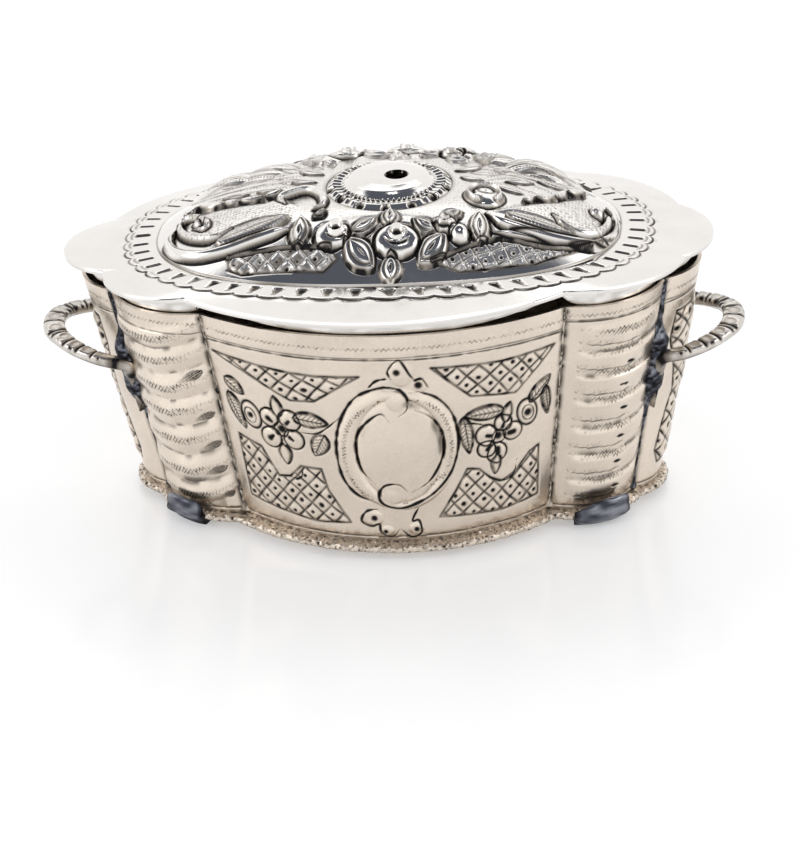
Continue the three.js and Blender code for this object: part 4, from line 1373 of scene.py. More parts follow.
class SILVERBOX_OT_handles(bpy.types.Operator):
    """The two strap handles, with their cross grooves and hollows"""

    bl_idname = "silverbox.handles"
    bl_label = "Handles"

    def execute(self, context):
        sizes = settings().handle
        root, grip, thickness = mm(sizes.root), mm(sizes.grip), mm(sizes.thickness)
        angle = np.linspace(0, 2 * np.pi, HANDLE["around"], endpoint=False)
        c, n = np.cos(angle)[None, :], np.sin(angle)[None, :]
        for name, right in (("handle_right", 1), ("handle_left", -1)):
            s, centre, width, across, up = strap_frame(right)
            taper = 0.15 + 0.85 * smooth(0, 13, s) * smooth(0, 13, s[-1] - s)
            half = (taper * (root + (grip - root) * width))[:, None] / 2
            middle = s[:, None] - s[-1] / 2
            lift, dark = strap_relief(middle, np.repeat(round_off(c), len(s), 0))
            top = smooth(-0.2, 0.6, n)
            hand = 0.06 * noise(middle / 3.1, c * 1.5 + n, 95)
            reach_c = half * round_off(c) + hand
            reach_n = (0.45 + 0.55 * taper[:, None]) * thickness / 2 * round_off(n) + lift * top + hand
            rings = centre[:, None] + across[:, None] * reach_c[..., None] + up[:, None] * reach_n[..., None]
            root_dark = smooth(18.0, 25.0, np.abs(middle)) * (0.5 + 0.6 * noise(middle / 1.3, c * 2, 96))
            # Painted shade on the strap's underside, with some noise
            under = 0.55 * smooth(0.0, -0.7, n) + 0.2 * noise(middle / 2, c * 2 + n, 97)
            # Chased darkness on the top face, the darker roots and the painted shade underneath
            grime_and_shade = np.clip(np.maximum(np.maximum(dark * top, root_dark), under), 0, 1)
            if right < 0:
                rings, grime_and_shade = rings[:, ::-1], grime_and_shade[:, ::-1]
            obj = loft(f"{name}_strap", rings, grime_and_shade, 0.0, handle_silver())
            finish_piece(obj, "box", "handle_silver", name)
        return {"FINISHED"}


# The boss: the shift of its middle, the hole's place and the gadroons round it, then the height above the
# dome at each radius between the hole and the lip
BOSS = {"x": 0.5, "hole": (2.3, -1.6), "ribs": 46, "rib_lift": 0.35, "columns": 640, "rows": 96}
BOSS_RADII, BOSS_HEIGHTS = (6.2, 8.8, 9.4, 10.8, 12.6), (3.0, 2.3, 1.7, 0.7, 0.95)
HOLE_HEIGHT, LIP_HEIGHT = 3.3, -0.1
BOSS_BEADS = ((10.6, 58), (11.6, 62))  # radius and number of dots in each beaded row, left out front and back
BOSS_PITS = (13.3, 14, 12.9)  # radius of their row, how many, and how far the first is turned in degrees
# Rocaille wings, as plan points in mm seen from above, front at -y
LEFT_BAR = (
    (-20.2, -16.3), (-23.5, -17.0), (-29.2, -17.9), (-34.8, -18.6), (-40.6, -18.0), (-45.6, -15.2),
    (-48.2, -11.1), (-48.3, -7.9), (-47.2, -5.7),
)
LEFT_VOLUTE = (
    (-33.6, -12.7), (-36.9, -14.2), (-41.1, -13.0), (-44.8, -9.6), (-46.6, -4.8), (-45.3, -3.0),
    (-42.1, -4.9), (-39.6, -8.5), (-40.3, -10.0), (-42.8, -8.4),
)
RIGHT_BAR = (
    (22.6, -12.5), (25.8, -14.8), (31.1, -15.8), (37.4, -16.3), (43.2, -15.6), (46.9, -14.5), (50.2, -10.1),
    (51.4, -5.7), (50.8, -0.2), (48.9, 2.7),
)
RIGHT_UNDERBAR = ((24.3, -17.4), (31.1, -17.2), (41.7, -16.1), (49.4, -12.5))
RIGHT_VOLUTE = ((37.1, -9.1), (40.6, -12.4), (44.3, -12.4), (48.0, -9.3), (49.4, -5.0), (48.6, -1.2))
LEFT_EDGE = ((-46.3, -0.2), (-42.9, 1.4), (-36.6, -1.8), (-32.9, -3.1), (-27.0, -3.9), (-23.2, -1.9))
RIGHT_EDGE = ((30.4, -6.4), (33.1, -4.3), (37.6, -2.2), (40.0, 2.7), (44.3, 5.5))
LEFT_HOOK = (
    (-22.0, -8.0), (-23.4, -5.4), (-21.2, -3.8), (-17.3, -3.0), (-14.2, -6.2), (-13.5, -10.4),
    (-15.4, -11.3),
)
FEATHERS = (((-37.0, -16.4), (-20.5, -13.2), 6.4), ((26.6, -12.6), (42.6, -14.4), 5.0))
WING_GROUNDS = (
    ((-20, -15), (-38, -17), (-47, -9), (-45, -1), (-37, -2), (-27, -4), (-22, -3), (-19, -8)),
    ((23, -11), (38, -15), (49, -11), (49, -1), (43, 4), (37, -2), (30, -6)),
)
SPIRAL = {"at": (21.9, -6.2), "radii": (4.6, 4.3)}  # rolled disc between the right wing and the boss
VOLUTE_EYES = (((-41.8, -6.8), (1.5, 1.4), 1.9), ((47.0, -3.1), (2.0, 1.9), 2.6))
FESTOON = {"at": (1.5, -20.2), "radii": (20.0, 4.6), "berry": (17.0, -19.3)}
# Plumes behind the wings: rows of punched dots that fan out from the boss, and smooth leaves up to the back
PLUMES = (
    ((-46.4, 3.0), (-37.1, 1.4), (-28.2, -0.8), (-19.5, -0.5)),
    ((-46.4, 4.6), (-37.1, 3.1), (-28.2, 1.3), (-19.5, 1.6)),
    ((-45.2, 7.4), (-36.6, 5.6), (-28.0, 4.0), (-18.4, 4.2)),
    ((-44.0, 9.8), (-35.0, 8.2), (-26.5, 6.8), (-18.8, 6.8)),
    ((-42.0, 12.0), (-33.0, 10.8), (-25.6, 9.4), (-18.2, 9.2)),
    ((22.6, 6.4), (30.0, 8.8), (38.0, 7.8), (45.0, 7.2)),
    ((21.6, 8.6), (29.6, 11.2), (37.6, 10.6), (43.6, 10.0)),
    ((22.7, 2.6), (28.6, 4.6), (34.0, 2.3), (38.4, 0.5)),
    ((22.4, 4.4), (29.4, 6.6), (36.6, 4.6), (42.6, 5.6)),
    ((22.4, 0.4), (27.0, 1.2), (31.0, -0.6), (35.6, -1.4)),
)
BACK_LEAVES = (
    ((-24.0, 6.5), (-46.0, 9.2), 4.6), ((-22.0, 9.6), (-43.6, 14.2), 5.4),
    ((-20.6, 12.6), (-38.6, 18.6), 5.6), ((-18.4, 14.6), (-29.6, 21.4), 5.0),
    ((-18.6, 3.4), (-24.8, 5.2), 3.2), ((-15.0, 10.0), (-22.0, 12.4), 3.0), ((23.6, 7.8), (46.4, 9.4), 4.6),
    ((22.6, 10.8), (44.0, 14.4), 5.6), ((22.0, 13.6), (38.6, 18.2), 5.8), ((20.4, 15.4), (30.4, 21.2), 5.0),
    ((18.4, 6.0), (26.4, 8.4), 3.6), ((16.0, 10.6), (22.6, 12.6), 3.0),
)
BACK_MOUNDS = (
    ((-38.0, 15.0), (8.5, 6.0), 2.2), ((-29.0, 15.5), (8.0, 6.0), 1.5), ((-16.0, 19.0), (7.0, 5.0), 1.3),
    ((34.5, 15.0), (9.5, 6.4), 2.7), ((24.5, 18.0), (7.0, 5.4), 1.9), ((15.5, 19.5), (6.5, 4.8), 2.2),
)
CROWN_LEAVES = (
    ((-15.8, 2.2), (-21.8, 3.4), 2.8), ((-15.4, -1.4), (-20.6, -0.4), 2.4),
    ((-23.2, -0.4), (-29.6, 1.2), 2.6), ((-31.0, 0.8), (-37.6, 2.8), 2.6), ((-14.6, 6.4), (-20.4, 9.4), 3.0),
    ((16.2, 3.4), (21.8, 1.6), 2.8), ((24.8, -1.0), (30.6, -2.8), 2.6), ((26.2, 2.2), (32.8, 4.0), 2.8),
    ((14.8, 7.0), (20.8, 9.2), 3.2), ((33.2, 5.6), (39.8, 4.6), 2.8),
)
DOME_GROUND = (
    (-44, 2), (-42, 12), (-30, 20), (-14, 22), (0, 23), (16, 23), (34, 19), (44, 10), (44, 4), (24, -2),
    (20, -14), (8, -17), (-8, -18), (-18, -14), (-22, -2),
)
# Festoon leaves on the lid as base, tip, width and lift
LID_LEAVES = (
    ((-18.0, -13.4), (-18.3, -22.0), 5.2, 2.2), ((-8.0, -20.6), (-1.2, -27.4), 6.4, 1.9),
    ((2.2, -24.0), (2.4, -30.2), 5.4, 1.7), ((14.2, -19.4), (8.3, -26.6), 6.2, 1.9),
    ((21.0, -12.4), (21.5, -21.4), 5.2, 2.2), ((-7.4, -20.2), (-0.6, -16.4), 4.4, 1.6),
    ((6.4, -16.6), (12.4, -19.4), 4.4, 1.6), ((1.6, -18.8), (1.7, -13.8), 5.0, 1.5),
    ((-15.4, -14.6), (-12.6, -12.0), 3.2, 1.3), ((12.4, -15.4), (17.6, -13.2), 4.0, 1.4),
)
LID_FLOWERS = (
    ((3.4, -21.5), (4.8, 3.3), 1.9, 1.05, (0.0, 0.7)), ((-10.9, -19.4), (3.8, 3.0), 1.8, 1.05, (0.9, 0.5)),
    ((13.9, -17.4), (2.5, 1.9), 1.8, 0.7, (-0.3, 0.2)),
)
# Lattice fields on the lid as corners, slopes of the lines, shade and the number of corners that its raised
# edge follows
LID_FIELDS = (
    (((-33.9, -20.2), (-19.9, -20.8), (-11.2, -22.3), (-9.4, -24.5), (-12.3, -26.9), (-30.4, -24.9),
      (-33.4, -23.2)),
     (38, -48), 0.55, 3),
    (((11.2, -25.6), (19.2, -21.6), (26.4, -18.8), (35.9, -18.9), (45.4, -15.7), (33.3, -23.3),
      (24.5, -25.7), (17.2, -27.1)),
     (28, -55), 0.05, 5),
)


def chase_wings(work):
    """Rocaille wings: a rolled bar that curls round a volute, a hatched feather and a matted ground, with an
    edging of small leaves, plumes of punched dots and a rolled disc beside the boss."""
    for ground in WING_GROUNDS:
        ground = np.array(ground, float)
        gap, _, _ = locate(work.x, work.y, np.vstack([ground, ground[:1]]))
        work.lift += 0.9 * inside(work.x, work.y, ground) * smooth(0, 3.0, gap)
        work.stipple(ground, 0.75, 0.24, 0.1, 0.8)
    for base, tip, width in FEATHERS:
        work.leaf(base, tip, width, 1.7, 0.8, 0.3, 0.62)
    for roll, width, lift in ((LEFT_VOLUTE, 1.7, 2.0), (RIGHT_VOLUTE, 2.3, 2.0), (RIGHT_UNDERBAR, 1.5, 1.1)):
        work.ridge(curve(roll), width, lift, 1.0, taper=0.15)
    for bar in (LEFT_BAR, RIGHT_BAR):
        work.ridge(curve(bar), 2.4, 1.9, 1.0, taper=0.12)
        work.groove(curve(np.array(bar) + [0.1, 0.45]), 0.32, 0.15, 0.75, taper=0.2)
    for at, radii, lift in VOLUTE_EYES:
        work.mound(at, radii, lift, edge=1.0)
    for edge in (LEFT_EDGE, RIGHT_EDGE):
        for base, tip in zip(edge[:-1], edge[1:]):
            work.leaf(base, tip, 2.6, 1.5, 0.0, 0.26, 0.9)
    work.ridge(curve(LEFT_HOOK), 2.4, 1.9, 1.0, taper=0.2)
    at = SPIRAL["at"]
    work.mound(at, SPIRAL["radii"], 1.8, power=0.4, edge=1.0)
    work.ridge(oval(at, (3.6, 3.3), start=-40, end=250), 1.0, 2.1, 0.6)
    work.groove(oval(at, (2.4, 2.1), start=20, end=200), 0.9, 0.7)
    work.mound((at[0] + 0.4, at[1] + 0.2), (1.7, 1.2), 2.0, edge=0.6)
    for plume in PLUMES:
        work.beads(curve(plume), 0.75, 0.22)
        work.groove(curve(np.array(plume) + [0.0, 0.7]), 0.35, 0.14, 0.55, taper=0.3)


def chase_dome(work):
    """The dome: wings at both ends, smooth leaves behind them, and a festoon of flowers and leaves over
    lattice fields, front and back."""
    for way in (1, -1):
        for corners, slopes, shade, edged in LID_FIELDS:
            corners = flipped(corners, way)
            turned = (slopes[0] * way, slopes[1] * way)
            work.lattice(corners, turned, 3.1, lift=0.3, line=0.2, spot=0.44, shade=shade, raised=0.3)
            work.ridge(curve(corners[:edged], 4), 0.6, 0.9, 0.9)
    for at, radii, lift in BACK_MOUNDS:
        work.mound(at, radii, lift, power=1.0)
    work.stipple(DOME_GROUND, 0.8, 0.22, 0.06, 0.4)
    for base, tip, width in BACK_LEAVES:
        work.leaf(base, tip, width, 0.0, 0.0, 0.3, 0.45, 1.0)
        work.groove([base, tip], 0.35, 0.1, 0.4, taper=0.3)
    for base, tip, width in CROWN_LEAVES:
        work.leaf(base, tip, width, 0.55, 0.0, 0.26, 0.8, 1.0)
        work.groove([base, tip], 0.35, 0.12, 0.6, taper=0.3)
    chase_wings(work)
    for way in (1, -1):
        middle, ball = flipped((FESTOON["at"], FESTOON["berry"]), way)
        work.mound(middle, FESTOON["radii"], 0.6, power=1.0)
        for base, tip, width, lift in LID_LEAVES:
            work.calyx(*flipped((base, tip), way), width, 0.6 * lift, 1.0 if way > 0 else 0.4)
        for at, radii, lift, hole, tilt in LID_FLOWERS:
            at, tilt = flipped((at, tilt), way)
            work.rosette(at, radii, lift, hole, tilt)
        work.mound(ball, (2.1, 2.0), 2.2, power=0.6)
        work.groove(oval(ball, (2.4, 2.3)), 0.7, 0.5)


def squared_oval(angle, a, b, square):
    """An oval whose corners are filled: the cosine and sine are raised to a power a little under one."""
    c, s = np.cos(angle), np.sin(angle)
    x, y = (np.sign(v) * np.abs(v) ** (1 - square) for v in (c, s))
    return np.stack([a * x, b * y], -1)


def even_angles(count, a, b, square):
    """Angles that set points evenly along a squared oval."""
    fine = np.linspace(0, 2 * np.pi, 8 * count + 1)
    walked = walk(squared_oval(fine, a, b, square))
    return np.interp(np.linspace(0, walked[-1], count, endpoint=False), walked, fine)


def cove_height():
    """Height above the flange's edge where the cove starts."""
    return 0.5 + sum(mm(settings().lid.rise))


def dome_height(share, angle):
    """The bare dome's height above the flange: it falls by a power of the share of the way from the boss to
    the cove, a higher power at the back, where the dome is fuller."""
    lid = settings().lid
    start = cove_height()
    return start + (mm(lid.dome) - start) * (1 - share ** (2.05 + 0.8 * np.sin(angle)))


def lid_zone(name, shares, columns):
    """A ring of the dome between two shares of the way out from the boss's lip to the cove."""
    lid = settings().lid
    lip, cove = mm(lid.lip), mm(lid.cove)
    angle = even_angles(columns, *cove, lid.square)[:, None]
    share = shares[None, :]
    half_x, half_y = (lip + (half - lip) * share for half in cove)
    place = squared_oval(angle, half_x, half_y, lid.square * share)
    x, y = place[..., 0] + BOSS["x"] * (1 - share), place[..., 1]
    work = Chasing(x, y)
    chase_dome(work)
    clear = smooth(0, 0.035, share) * smooth(1, 0.97, share)
    z = mm(lid.top) + dome_height(share, angle) + work.lift * clear
    # A dark ring where the dome meets the boss's lip: painted shade under the lip
    dark = np.maximum(work.dark, 0.3 * smooth(0.03, 0.0, share))
    lid_shell(name, x, y, z, dark, work.matt)


def lid_shell(name, x, y, z, dark, matt):
    """Closes a ring of the lid's top surface with the sheet's underside and tilts it with the mouth."""
    body = settings().body
    tilted = z + body.tilt * x
    few = (slice(None, None, COARSE),) * 2
    under = np.minimum(soften(tilted, SOFTENED, True)[few], tilted[few]) - mm(body.sheet)
    outer, inner = np.stack([x, y, tilted], -1), np.stack([x[few], y[few], under], -1)
    obj = shell(name, outer, inner, dark, matt, lid_silver(), True)
    finish_piece(obj, "lid", "lid_silver", "lid")


CROWN_SHARE = 0.46  # where the crown meets the cove, as a share of the way from the boss's lip to the ring


class SILVERBOX_OT_lid_dome(bpy.types.Operator):
    """The lid's dome in two rings, with its wings and festoons"""

    bl_idname = "silverbox.lid_dome"
    bl_label = "Lid Dome"

    def execute(self, context):
        lid_zone("lid_cove", np.linspace(1.0, CROWN_SHARE, 88 + 1), 1000)
        lid_zone("lid_crown", np.linspace(CROWN_SHARE, 0.0, 76 + 1), 720)
        return {"FINISHED"}


class SILVERBOX_OT_lid_boss(bpy.types.Operator):
    """The boss: gadrooned ring, beaded lip with round pits, and a smooth disc with the finial's hole"""

    bl_idname = "silverbox.lid_boss"
    bl_label = "Lid Boss"

    def execute(self, context):
        lid = settings().lid
        lip, hole = mm(lid.lip), mm(lid.hole)
        angle = np.linspace(0, 2 * np.pi, BOSS["columns"], endpoint=False)[:, None]
        r = lip + (hole - lip) * np.linspace(0, 1, BOSS["rows"] + 1)[None, :]
        inward = smooth(BOSS_RADII[2], hole, r)
        x = BOSS["x"] + (BOSS["hole"][0] - BOSS["x"]) * inward + r * np.cos(angle)
        y = BOSS["hole"][1] * inward + r * np.sin(angle)
        fine = np.linspace(0, lip, 400)
        profile = np.interp(fine, [hole, *BOSS_RADII, lip], [HOLE_HEIGHT, *BOSS_HEIGHTS, LIP_HEIGHT])
        window = np.hanning(19) / np.hanning(19).sum()
        z = np.interp(r, fine, np.convolve(np.pad(profile, 9, mode="edge"), window, "valid"))
        ribs = 0.5 + 0.5 * np.cos(BOSS["ribs"] * angle)
        on_rib = smooth(9.8, 10.4, r) * smooth(14.0, 13.2, r) * smooth(0.45, 0.75, np.abs(np.cos(angle)))
        work = Chasing(x - BOSS["x"], y)
        work.stain_and_shade(np.clip((0.4 - ribs) * 2.8, 0, 1) * on_rib)
        for radius, count in BOSS_BEADS:
            for a in np.linspace(0, 2 * np.pi, count, endpoint=False):
                if abs(math.cos(a)) < 0.84:
                    work.dot((radius * math.cos(a), radius * math.sin(a)), 0.36, 0.25)
        radius, count, turn = BOSS_PITS
        for at in oval((0, 0), (radius, radius), turn, steps=count + 1)[:-1]:
            work.dot(at, 0.95, 0.8)
        work.groove(oval((0, 0), (14.1, 14.1), steps=90), 0.45, 0.08, 0.5)
        height = mm(lid.top) + mm(lid.dome) + z + BOSS["rib_lift"] * (ribs - 0.5) * on_rib + work.lift
        lid_shell("lid_boss", x, y, height, work.dark, work.matt)
        return {"FINISHED"}


FLANGE_COLUMNS, BRIM_ROWS, BAND_ROWS = 1440, 12, 40
DROP_START, DROP_END = 0.30, 0.74  # where each scallop's drop starts and ends on the way in across the band


def flange_edge(angle, ring):
    """The flange's lobed outline, at the places that lie in the same directions as the ring's angles."""
    lobes = lobed_arcs(mm(settings().lid.flange))
    line = np.vstack([arc(*lobe, np.linspace(0, 1, 160, endpoint=False))[0] for lobe in lobes])
    heading = np.unwrap(np.arctan2(line[:, 1] / ring[1], line[:, 0] / ring[0]))
    heading, line = np.append(heading, heading[0] + 2 * np.pi), np.vstack([line, line[:1]])
    wrapped = np.mod(angle - heading[0], 2 * np.pi) + heading[0]
    return np.stack([np.interp(wrapped, heading, line[:, k]) for k in range(2)], -1)


def chase_ring(cell, endness, depth, width):
    """Relief and tarnish of the scalloped ring. Each cell has a bow cut at its edge and a punched drop. At
    the long sides the drop leans and widens inwards. At the ends it is straight and even, and a second line
    follows the bow."""
    across = cell - np.floor(cell) - 0.5
    bow = np.sqrt(np.clip(1 - (across / 0.53) ** 2, 0, 1))
    gap = (depth - (0.24 + 0.02 * endness - (0.20 + 0.02 * endness) * bow)) * width
    on_ring = depth >= 0
    cut = bell(gap, 0.24) * on_ring * (0.85 + 0.3 * noise(cell * 1.9, 0, 101))
    second = bell(gap - 1.3, 0.3) * on_ring * endness * 0.5 * (np.abs(across) < 0.33)
    slim = (0.07 + 0.13 * smooth(DROP_START, DROP_END, depth)) * (1 - endness) + 0.11 * endness
    drop = bell(across - 0.16 * (DROP_END - depth) * (1 - endness), slim, 4)
    drop = drop * smooth(DROP_START - 0.06, DROP_START + 0.06, depth)
    drop = drop * smooth(DROP_END + 0.04, DROP_END - 0.04, depth)
    band = smooth(-0.1, 0.4, gap) * smooth(1.0, 0.9, depth)
    lift = 0.18 * band - 0.2 * cut - 0.1 * second - 0.4 * drop
    fresh = 0.85 + 0.2 * noise(cell * 1.3, 0, 102)
    tail = 0.55 + 0.45 * np.maximum(smooth(0.35, 0.6, depth), endness)
    dark = np.clip(np.maximum(np.maximum(cut, second), drop * fresh * tail), 0, 1)
    crease = bell((depth - 0.985) * width, 0.28) * (depth > 0)
    return lift, np.maximum(dark, 0.6 * crease * (0.7 + 0.3 * noise(cell * 0.7, 0, 104)))


class SILVERBOX_OT_lid_flange(bpy.types.Operator):
    """The lid's lobed flange and its ring of scallops with a punched drop in each"""

    bl_idname = "silverbox.lid_flange"
    bl_label = "Lid Flange"

    def execute(self, context):
        lid = settings().lid
        ring, cove = mm(lid.ring), mm(lid.cove)
        angle = even_angles(FLANGE_COLUMNS, *ring, lid.square)
        outer_ring, inner_ring = (squared_oval(angle, *half, lid.square) for half in (ring, cove))
        edge = flange_edge(angle, ring)
        brim = np.linspace(0, 1, BRIM_ROWS, endpoint=False)
        band = np.linspace(0, 1, BAND_ROWS + 1)
        grid = np.concatenate([
            edge[:, None] + (outer_ring - edge)[:, None] * brim[None, :, None],
            outer_ring[:, None] + (inner_ring - outer_ring)[:, None] * band[None, :, None],
        ], 1)
        x, y = grid[..., 0], grid[..., 1]
        depth = np.concatenate([np.full(BRIM_ROWS, -1.0), band])[None, :]
        share = np.linspace(0, 1, FLANGE_COLUMNS, endpoint=False)
        cell = (lid.scallops * (0.6 * angle / (2 * np.pi) + 0.4 * share))[:, None]
        endness = smooth(0.72, 0.95, np.abs(np.cos(angle)))[:, None]
        width = np.linalg.norm(outer_ring - inner_ring, axis=1)[:, None]
        lift, dark = chase_ring(cell, endness, depth, width)
        wave = 0.15 * noise(x / 16, y / 16, 103) * smooth(0.3, -0.9, depth)
        rise = mm(lid.rise)
        z = mm(lid.top) + rise[0] * np.append(brim, np.ones(BAND_ROWS + 1)) + lift + wave
        z += rise[1] * np.clip(depth, 0, 1)
        z[:, -1] = mm(lid.top) + cove_height()
        z[:, 0] -= 0.12
        lid_shell("lid_flange", x, y, z, dark, np.zeros_like(x))
        return {"FINISHED"}


COLLAR = {"thickness": 0.7, "clear": 0.45, "dip": 0.8, "cut": 3.2, "lobe_cut": 1.4, "end_drop": 2.0,
          "rows": 12}
COLLAR_STEPS = (112, 40, 48)  # along a long panel, a column and an end panel


class SILVERBOX_OT_lid_collar(bpy.types.Operator):
    """The upright strip under the flange, cut by hand along its lower edge"""

    bl_idname = "silverbox.lid_collar"
    bl_label = "Lid Collar"

    def execute(self, context):
        body, lid = settings().body, settings().lid
        sheet = mm(body.sheet)
        rim = mm(body.low) + mm(body.height)
        points, normals, lows = [], [], []
        for side, (start, end, rise) in enumerate(mouth_arcs()):
            kind = kind_of(side)
            steps = COLLAR_STEPS[kind]
            u = (np.arange(steps) + 0.5) / steps
            point, normal, _ = arc(start, end, rise, u)
            away = np.abs(2 * u - 1)
            cut, lobe_cut = COLLAR["cut"], COLLAR["lobe_cut"]
            cuts = (cut * away**1.5, lobe_cut * away**2, cut - COLLAR["end_drop"] * away)
            points.append(point)
            normals.append(normal)
            lows.append(rim - COLLAR["dip"] + cuts[kind])
        points, normals, lows = np.vstack(points), np.vstack(normals), np.concatenate(lows)
        lows = lows + 0.12 * noise(np.arange(len(lows)) / 3.0, 0, 111)
        v = np.linspace(0, 1, COLLAR["rows"] + 1)
        top = mm(lid.top) - sheet

        def surface(depth, columns, rows):
            """The strip's face at a depth inside the wall."""
            p = points[columns] - normals[columns] * (sheet + COLLAR["clear"] + depth)
            z = lows[columns][:, None] + (top - lows[columns][:, None]) * v[rows][None, :]
            waver = 0.08 * noise(np.arange(len(points))[columns][:, None] / 11, v[rows][None, :] * 3, 112)
            p = p[:, None, :] + normals[columns][:, None, :] * waver[..., None]
            return np.concatenate([p, (z + body.tilt * p[..., 0])[..., None]], -1)

        every, few = slice(None), slice(None, None, COARSE)
        outer = surface(0.0, every, every)
        inner = surface(COLLAR["thickness"], few, few)
        along = np.arange(len(points))[:, None] * 0.75
        dark = 0.25 * smooth(0.25, 0.0, v[None, :]) + 0.15 * noise(along / 2, v[None, :] * 4, 113) + 0.08
        dark, matt = np.clip(dark, 0, 1), np.zeros_like(dark)
        obj = shell("lid_collar_strip", outer, inner, dark, matt, lid_silver(), True)
        finish_piece(obj, "lid", "lid_silver", "lid_collar")
        return {"FINISHED"}


# Camera of the photograph: pitch, yaw and roll in degrees, focal length in pixels, the rest in mm
CAMERA = {"pitch": 28.4, "yaw": -4.3, "roll": 1.8, "focal": 2600.0, "distance": 608.6, "aim": (1.24, 14.84)}
SENSOR = 36.0  # width in mm


def add_camera():
    """Places the camera at the photograph's angle: it looks at its aim from its distance."""
    pitch, yaw, roll = (math.radians(CAMERA[k]) for k in ("pitch", "yaw", "roll"))
    spin = Matrix.Rotation(-yaw, 3, "Z")
    forward = spin @ Vector((0, math.cos(pitch), -math.sin(pitch)))
    right = spin @ Vector((1, 0, 0))
    up = spin @ Vector((0, math.sin(pitch), math.cos(pitch)))
    aim = spin @ Vector((CAMERA["aim"][0], 0, CAMERA["aim"][1]))
    rolled_right = math.cos(roll) * right - math.sin(roll) * up
    rolled_up = math.sin(roll) * right + math.cos(roll) * up
    data = bpy.data.cameras.new("photo_camera")
    data.sensor_width = SENSOR
    data.lens = CAMERA["focal"] / PHOTO_SIDE * SENSOR
    data.clip_start, data.clip_end = 0.01, 50.0
    camera = put("photo_camera", data)
    turned = Matrix((rolled_right, rolled_up, -forward)).transposed().to_4x4()
    camera.matrix_world = Matrix.Translation((aim - forward * CAMERA["distance"]) * MM) @ turned
    bpy.context.scene.camera = camera


def add_softbox(name, place, aim, size, power):
    """A rectangular area light that faces an aim point."""
    data = bpy.data.lights.new(name, "AREA")
    data.shape, data.size, data.size_y = "RECTANGLE", *size
    data.energy = power
    light = put(name, data)
    light.location = place
    light.rotation_euler = (Vector(aim) - Vector(place)).to_track_quat("-Z", "Y").to_euler()


WALL_LIGHT, CEILING_LIGHT, CEILING_PATCH = (1.13, 1.13, 1.13), (1.7, 1.7, 1.7), (0.105, 0.115, 0.145)
# Soft lights as name, place and aim in metres, size and power
SOFTBOXES = (
    ("front_softbox", (0.1, -0.45, 1.0), (0, 0, 0), (0.30, 0.16), 0.6),
    ("left_softbox", (-1.1, -0.5, 0.7), (0, 0, 0.03), (0.7, 0.7), 3.0),
    ("right_softbox", (1.1, -0.3, 0.8), (0, 0, 0.03), (0.6, 0.7), 2.6),
)


def add_world():
    """A white studio, brighter overhead, with a dark blue-grey ceiling patch above the box."""
    world = bpy.data.worlds.new("studio")
    bpy.context.scene.world = world
    world.use_nodes = True
    nodes, links = world.node_tree.nodes, world.node_tree.links
    background = nodes["Background"]
    place = nodes.new("ShaderNodeTexCoord")

    def vector_maths(kind, source, other=None):
        node = nodes.new("ShaderNodeVectorMath")
        node.operation = kind
        links.new(source, node.inputs[0])
        if other:
            node.inputs[1].default_value = other
        return node

    def toward(direction, low, high, squeeze=1.0):
        """Rises from 0 to 1 where the sky is close to a direction."""
        flat = vector_maths("MULTIPLY", place.outputs["Generated"], (squeeze, 1.0, 1.0))
        even = vector_maths("NORMALIZE", flat.outputs["Vector"])
        dot = vector_maths("DOT_PRODUCT", even.outputs["Vector"], Vector(direction).normalized())
        patch = nodes.new("ShaderNodeMapRange")
        patch.interpolation_type = "SMOOTHSTEP"
        fill(patch, {"From Min": low, "From Max": high})
        links.new(dot.outputs["Value"], patch.inputs["Value"])
        return patch.outputs["Result"]

    def mixed(factor, below, above):
        mix = nodes.new("ShaderNodeMix")
        mix.data_type = "RGBA"
        links.new(factor, mix.inputs["Factor"])
        for socket, colour in ((mix.inputs["A"], below), (mix.inputs["B"], above)):
            if isinstance(colour, tuple):
                socket.default_value = (*colour, 1)
            else:
                links.new(colour, socket)
        return mix.outputs["Result"]

    sky = mixed(toward((0, 0, 1), 0.62, 0.76), WALL_LIGHT, CEILING_LIGHT)
    patched = mixed(toward((0.03, -0.25, 0.97), 0.76, 0.88, 0.6), sky, CEILING_PATCH)
    links.new(patched, background.inputs["Color"])
    fill(background, {"Strength": 1.0})


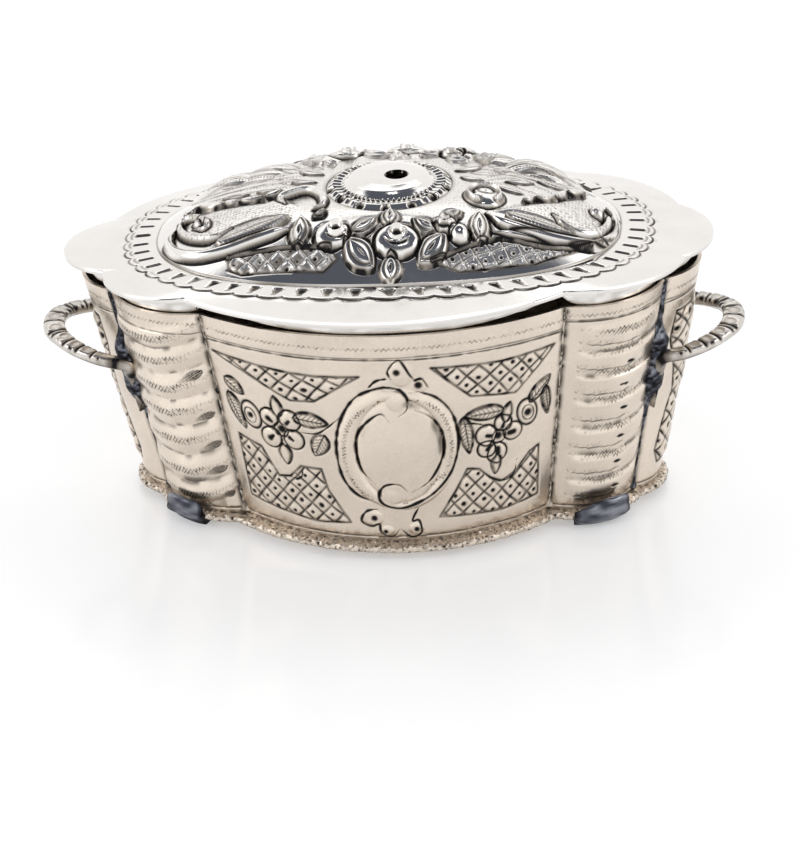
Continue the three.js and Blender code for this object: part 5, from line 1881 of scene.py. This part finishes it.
def add_floor():
    """A plain white table, lit through a little from below, with a faint gloss."""
    half = 4.0
    mesh = bpy.data.meshes.new("floor")
    corners = [(-half, -half, 0), (half, -half, 0), (half, half, 0), (-half, half, 0)]
    mesh.from_pydata(corners, [], [(0, 1, 2, 3)])
    material = bpy.data.materials.new("white_table")
    material.use_nodes = True
    shader = material.node_tree.nodes["Principled BSDF"]
    fill(shader, {
        "Base Color": (0.80, 0.80, 0.80, 1), "Roughness": 0.16, "Specular IOR Level": 0.35,
        "Emission Color": (1.0, 1.0, 1.0, 1), "Emission Strength": 0.28,
    })
    mesh.materials.append(material)
    put("floor", mesh)


class SILVERBOX_OT_stage(bpy.types.Operator):
    """White table, soft studio light and the photograph's camera"""

    bl_idname = "silverbox.stage"
    bl_label = "Stage"

    def execute(self, context):
        add_camera()
        add_world()
        add_floor()
        for softbox in SOFTBOXES:
            add_softbox(*softbox)
        view = context.scene.view_settings
        view.view_transform = "Standard"
        view.look = "None"
        view.exposure = 0.0
        return {"FINISHED"}


PIECES = (
    SILVERBOX_OT_long_panels,
    SILVERBOX_OT_columns,
    SILVERBOX_OT_end_panels,
    SILVERBOX_OT_base_plate,
    SILVERBOX_OT_solder,
    SILVERBOX_OT_feet,
    SILVERBOX_OT_handles,
    SILVERBOX_OT_lid_flange,
    SILVERBOX_OT_lid_dome,
    SILVERBOX_OT_lid_boss,
    SILVERBOX_OT_lid_collar,
    SILVERBOX_OT_stage,
)


class SILVERBOX_PT_sidebar(bpy.types.Panel):
    """Lists the pieces of the box"""

    bl_idname = "SILVERBOX_PT_sidebar"
    bl_label = "Silver Box"
    bl_space_type = "VIEW_3D"
    bl_region_type = "UI"
    bl_category = "Silver Box"

    def draw(self, context):
        for piece in PIECES:
            self.layout.operator(piece.bl_idname)


CLASSES = (BodySizes, LidSizes, HandleSizes, Finishes, BoxSettings, *PIECES, SILVERBOX_PT_sidebar)


def register():
    """Makes the box's settings, operators and panel known."""
    for cls in CLASSES:
        bpy.utils.register_class(cls)
    bpy.types.Scene.silver_box = bpy.props.PointerProperty(
        type=BoxSettings, name="Silver box", description="Sizes and colours of the box"
    )


def unregister():
    """Takes them away again."""
    del bpy.types.Scene.silver_box
    for cls in reversed(CLASSES):
        bpy.utils.unregister_class(cls)


def main():
    register()
    for piece in PIECES:
        group, action = piece.bl_idname.split(".")
        getattr(getattr(bpy.ops, group), action)()


if __name__ == "__main__":
    main()
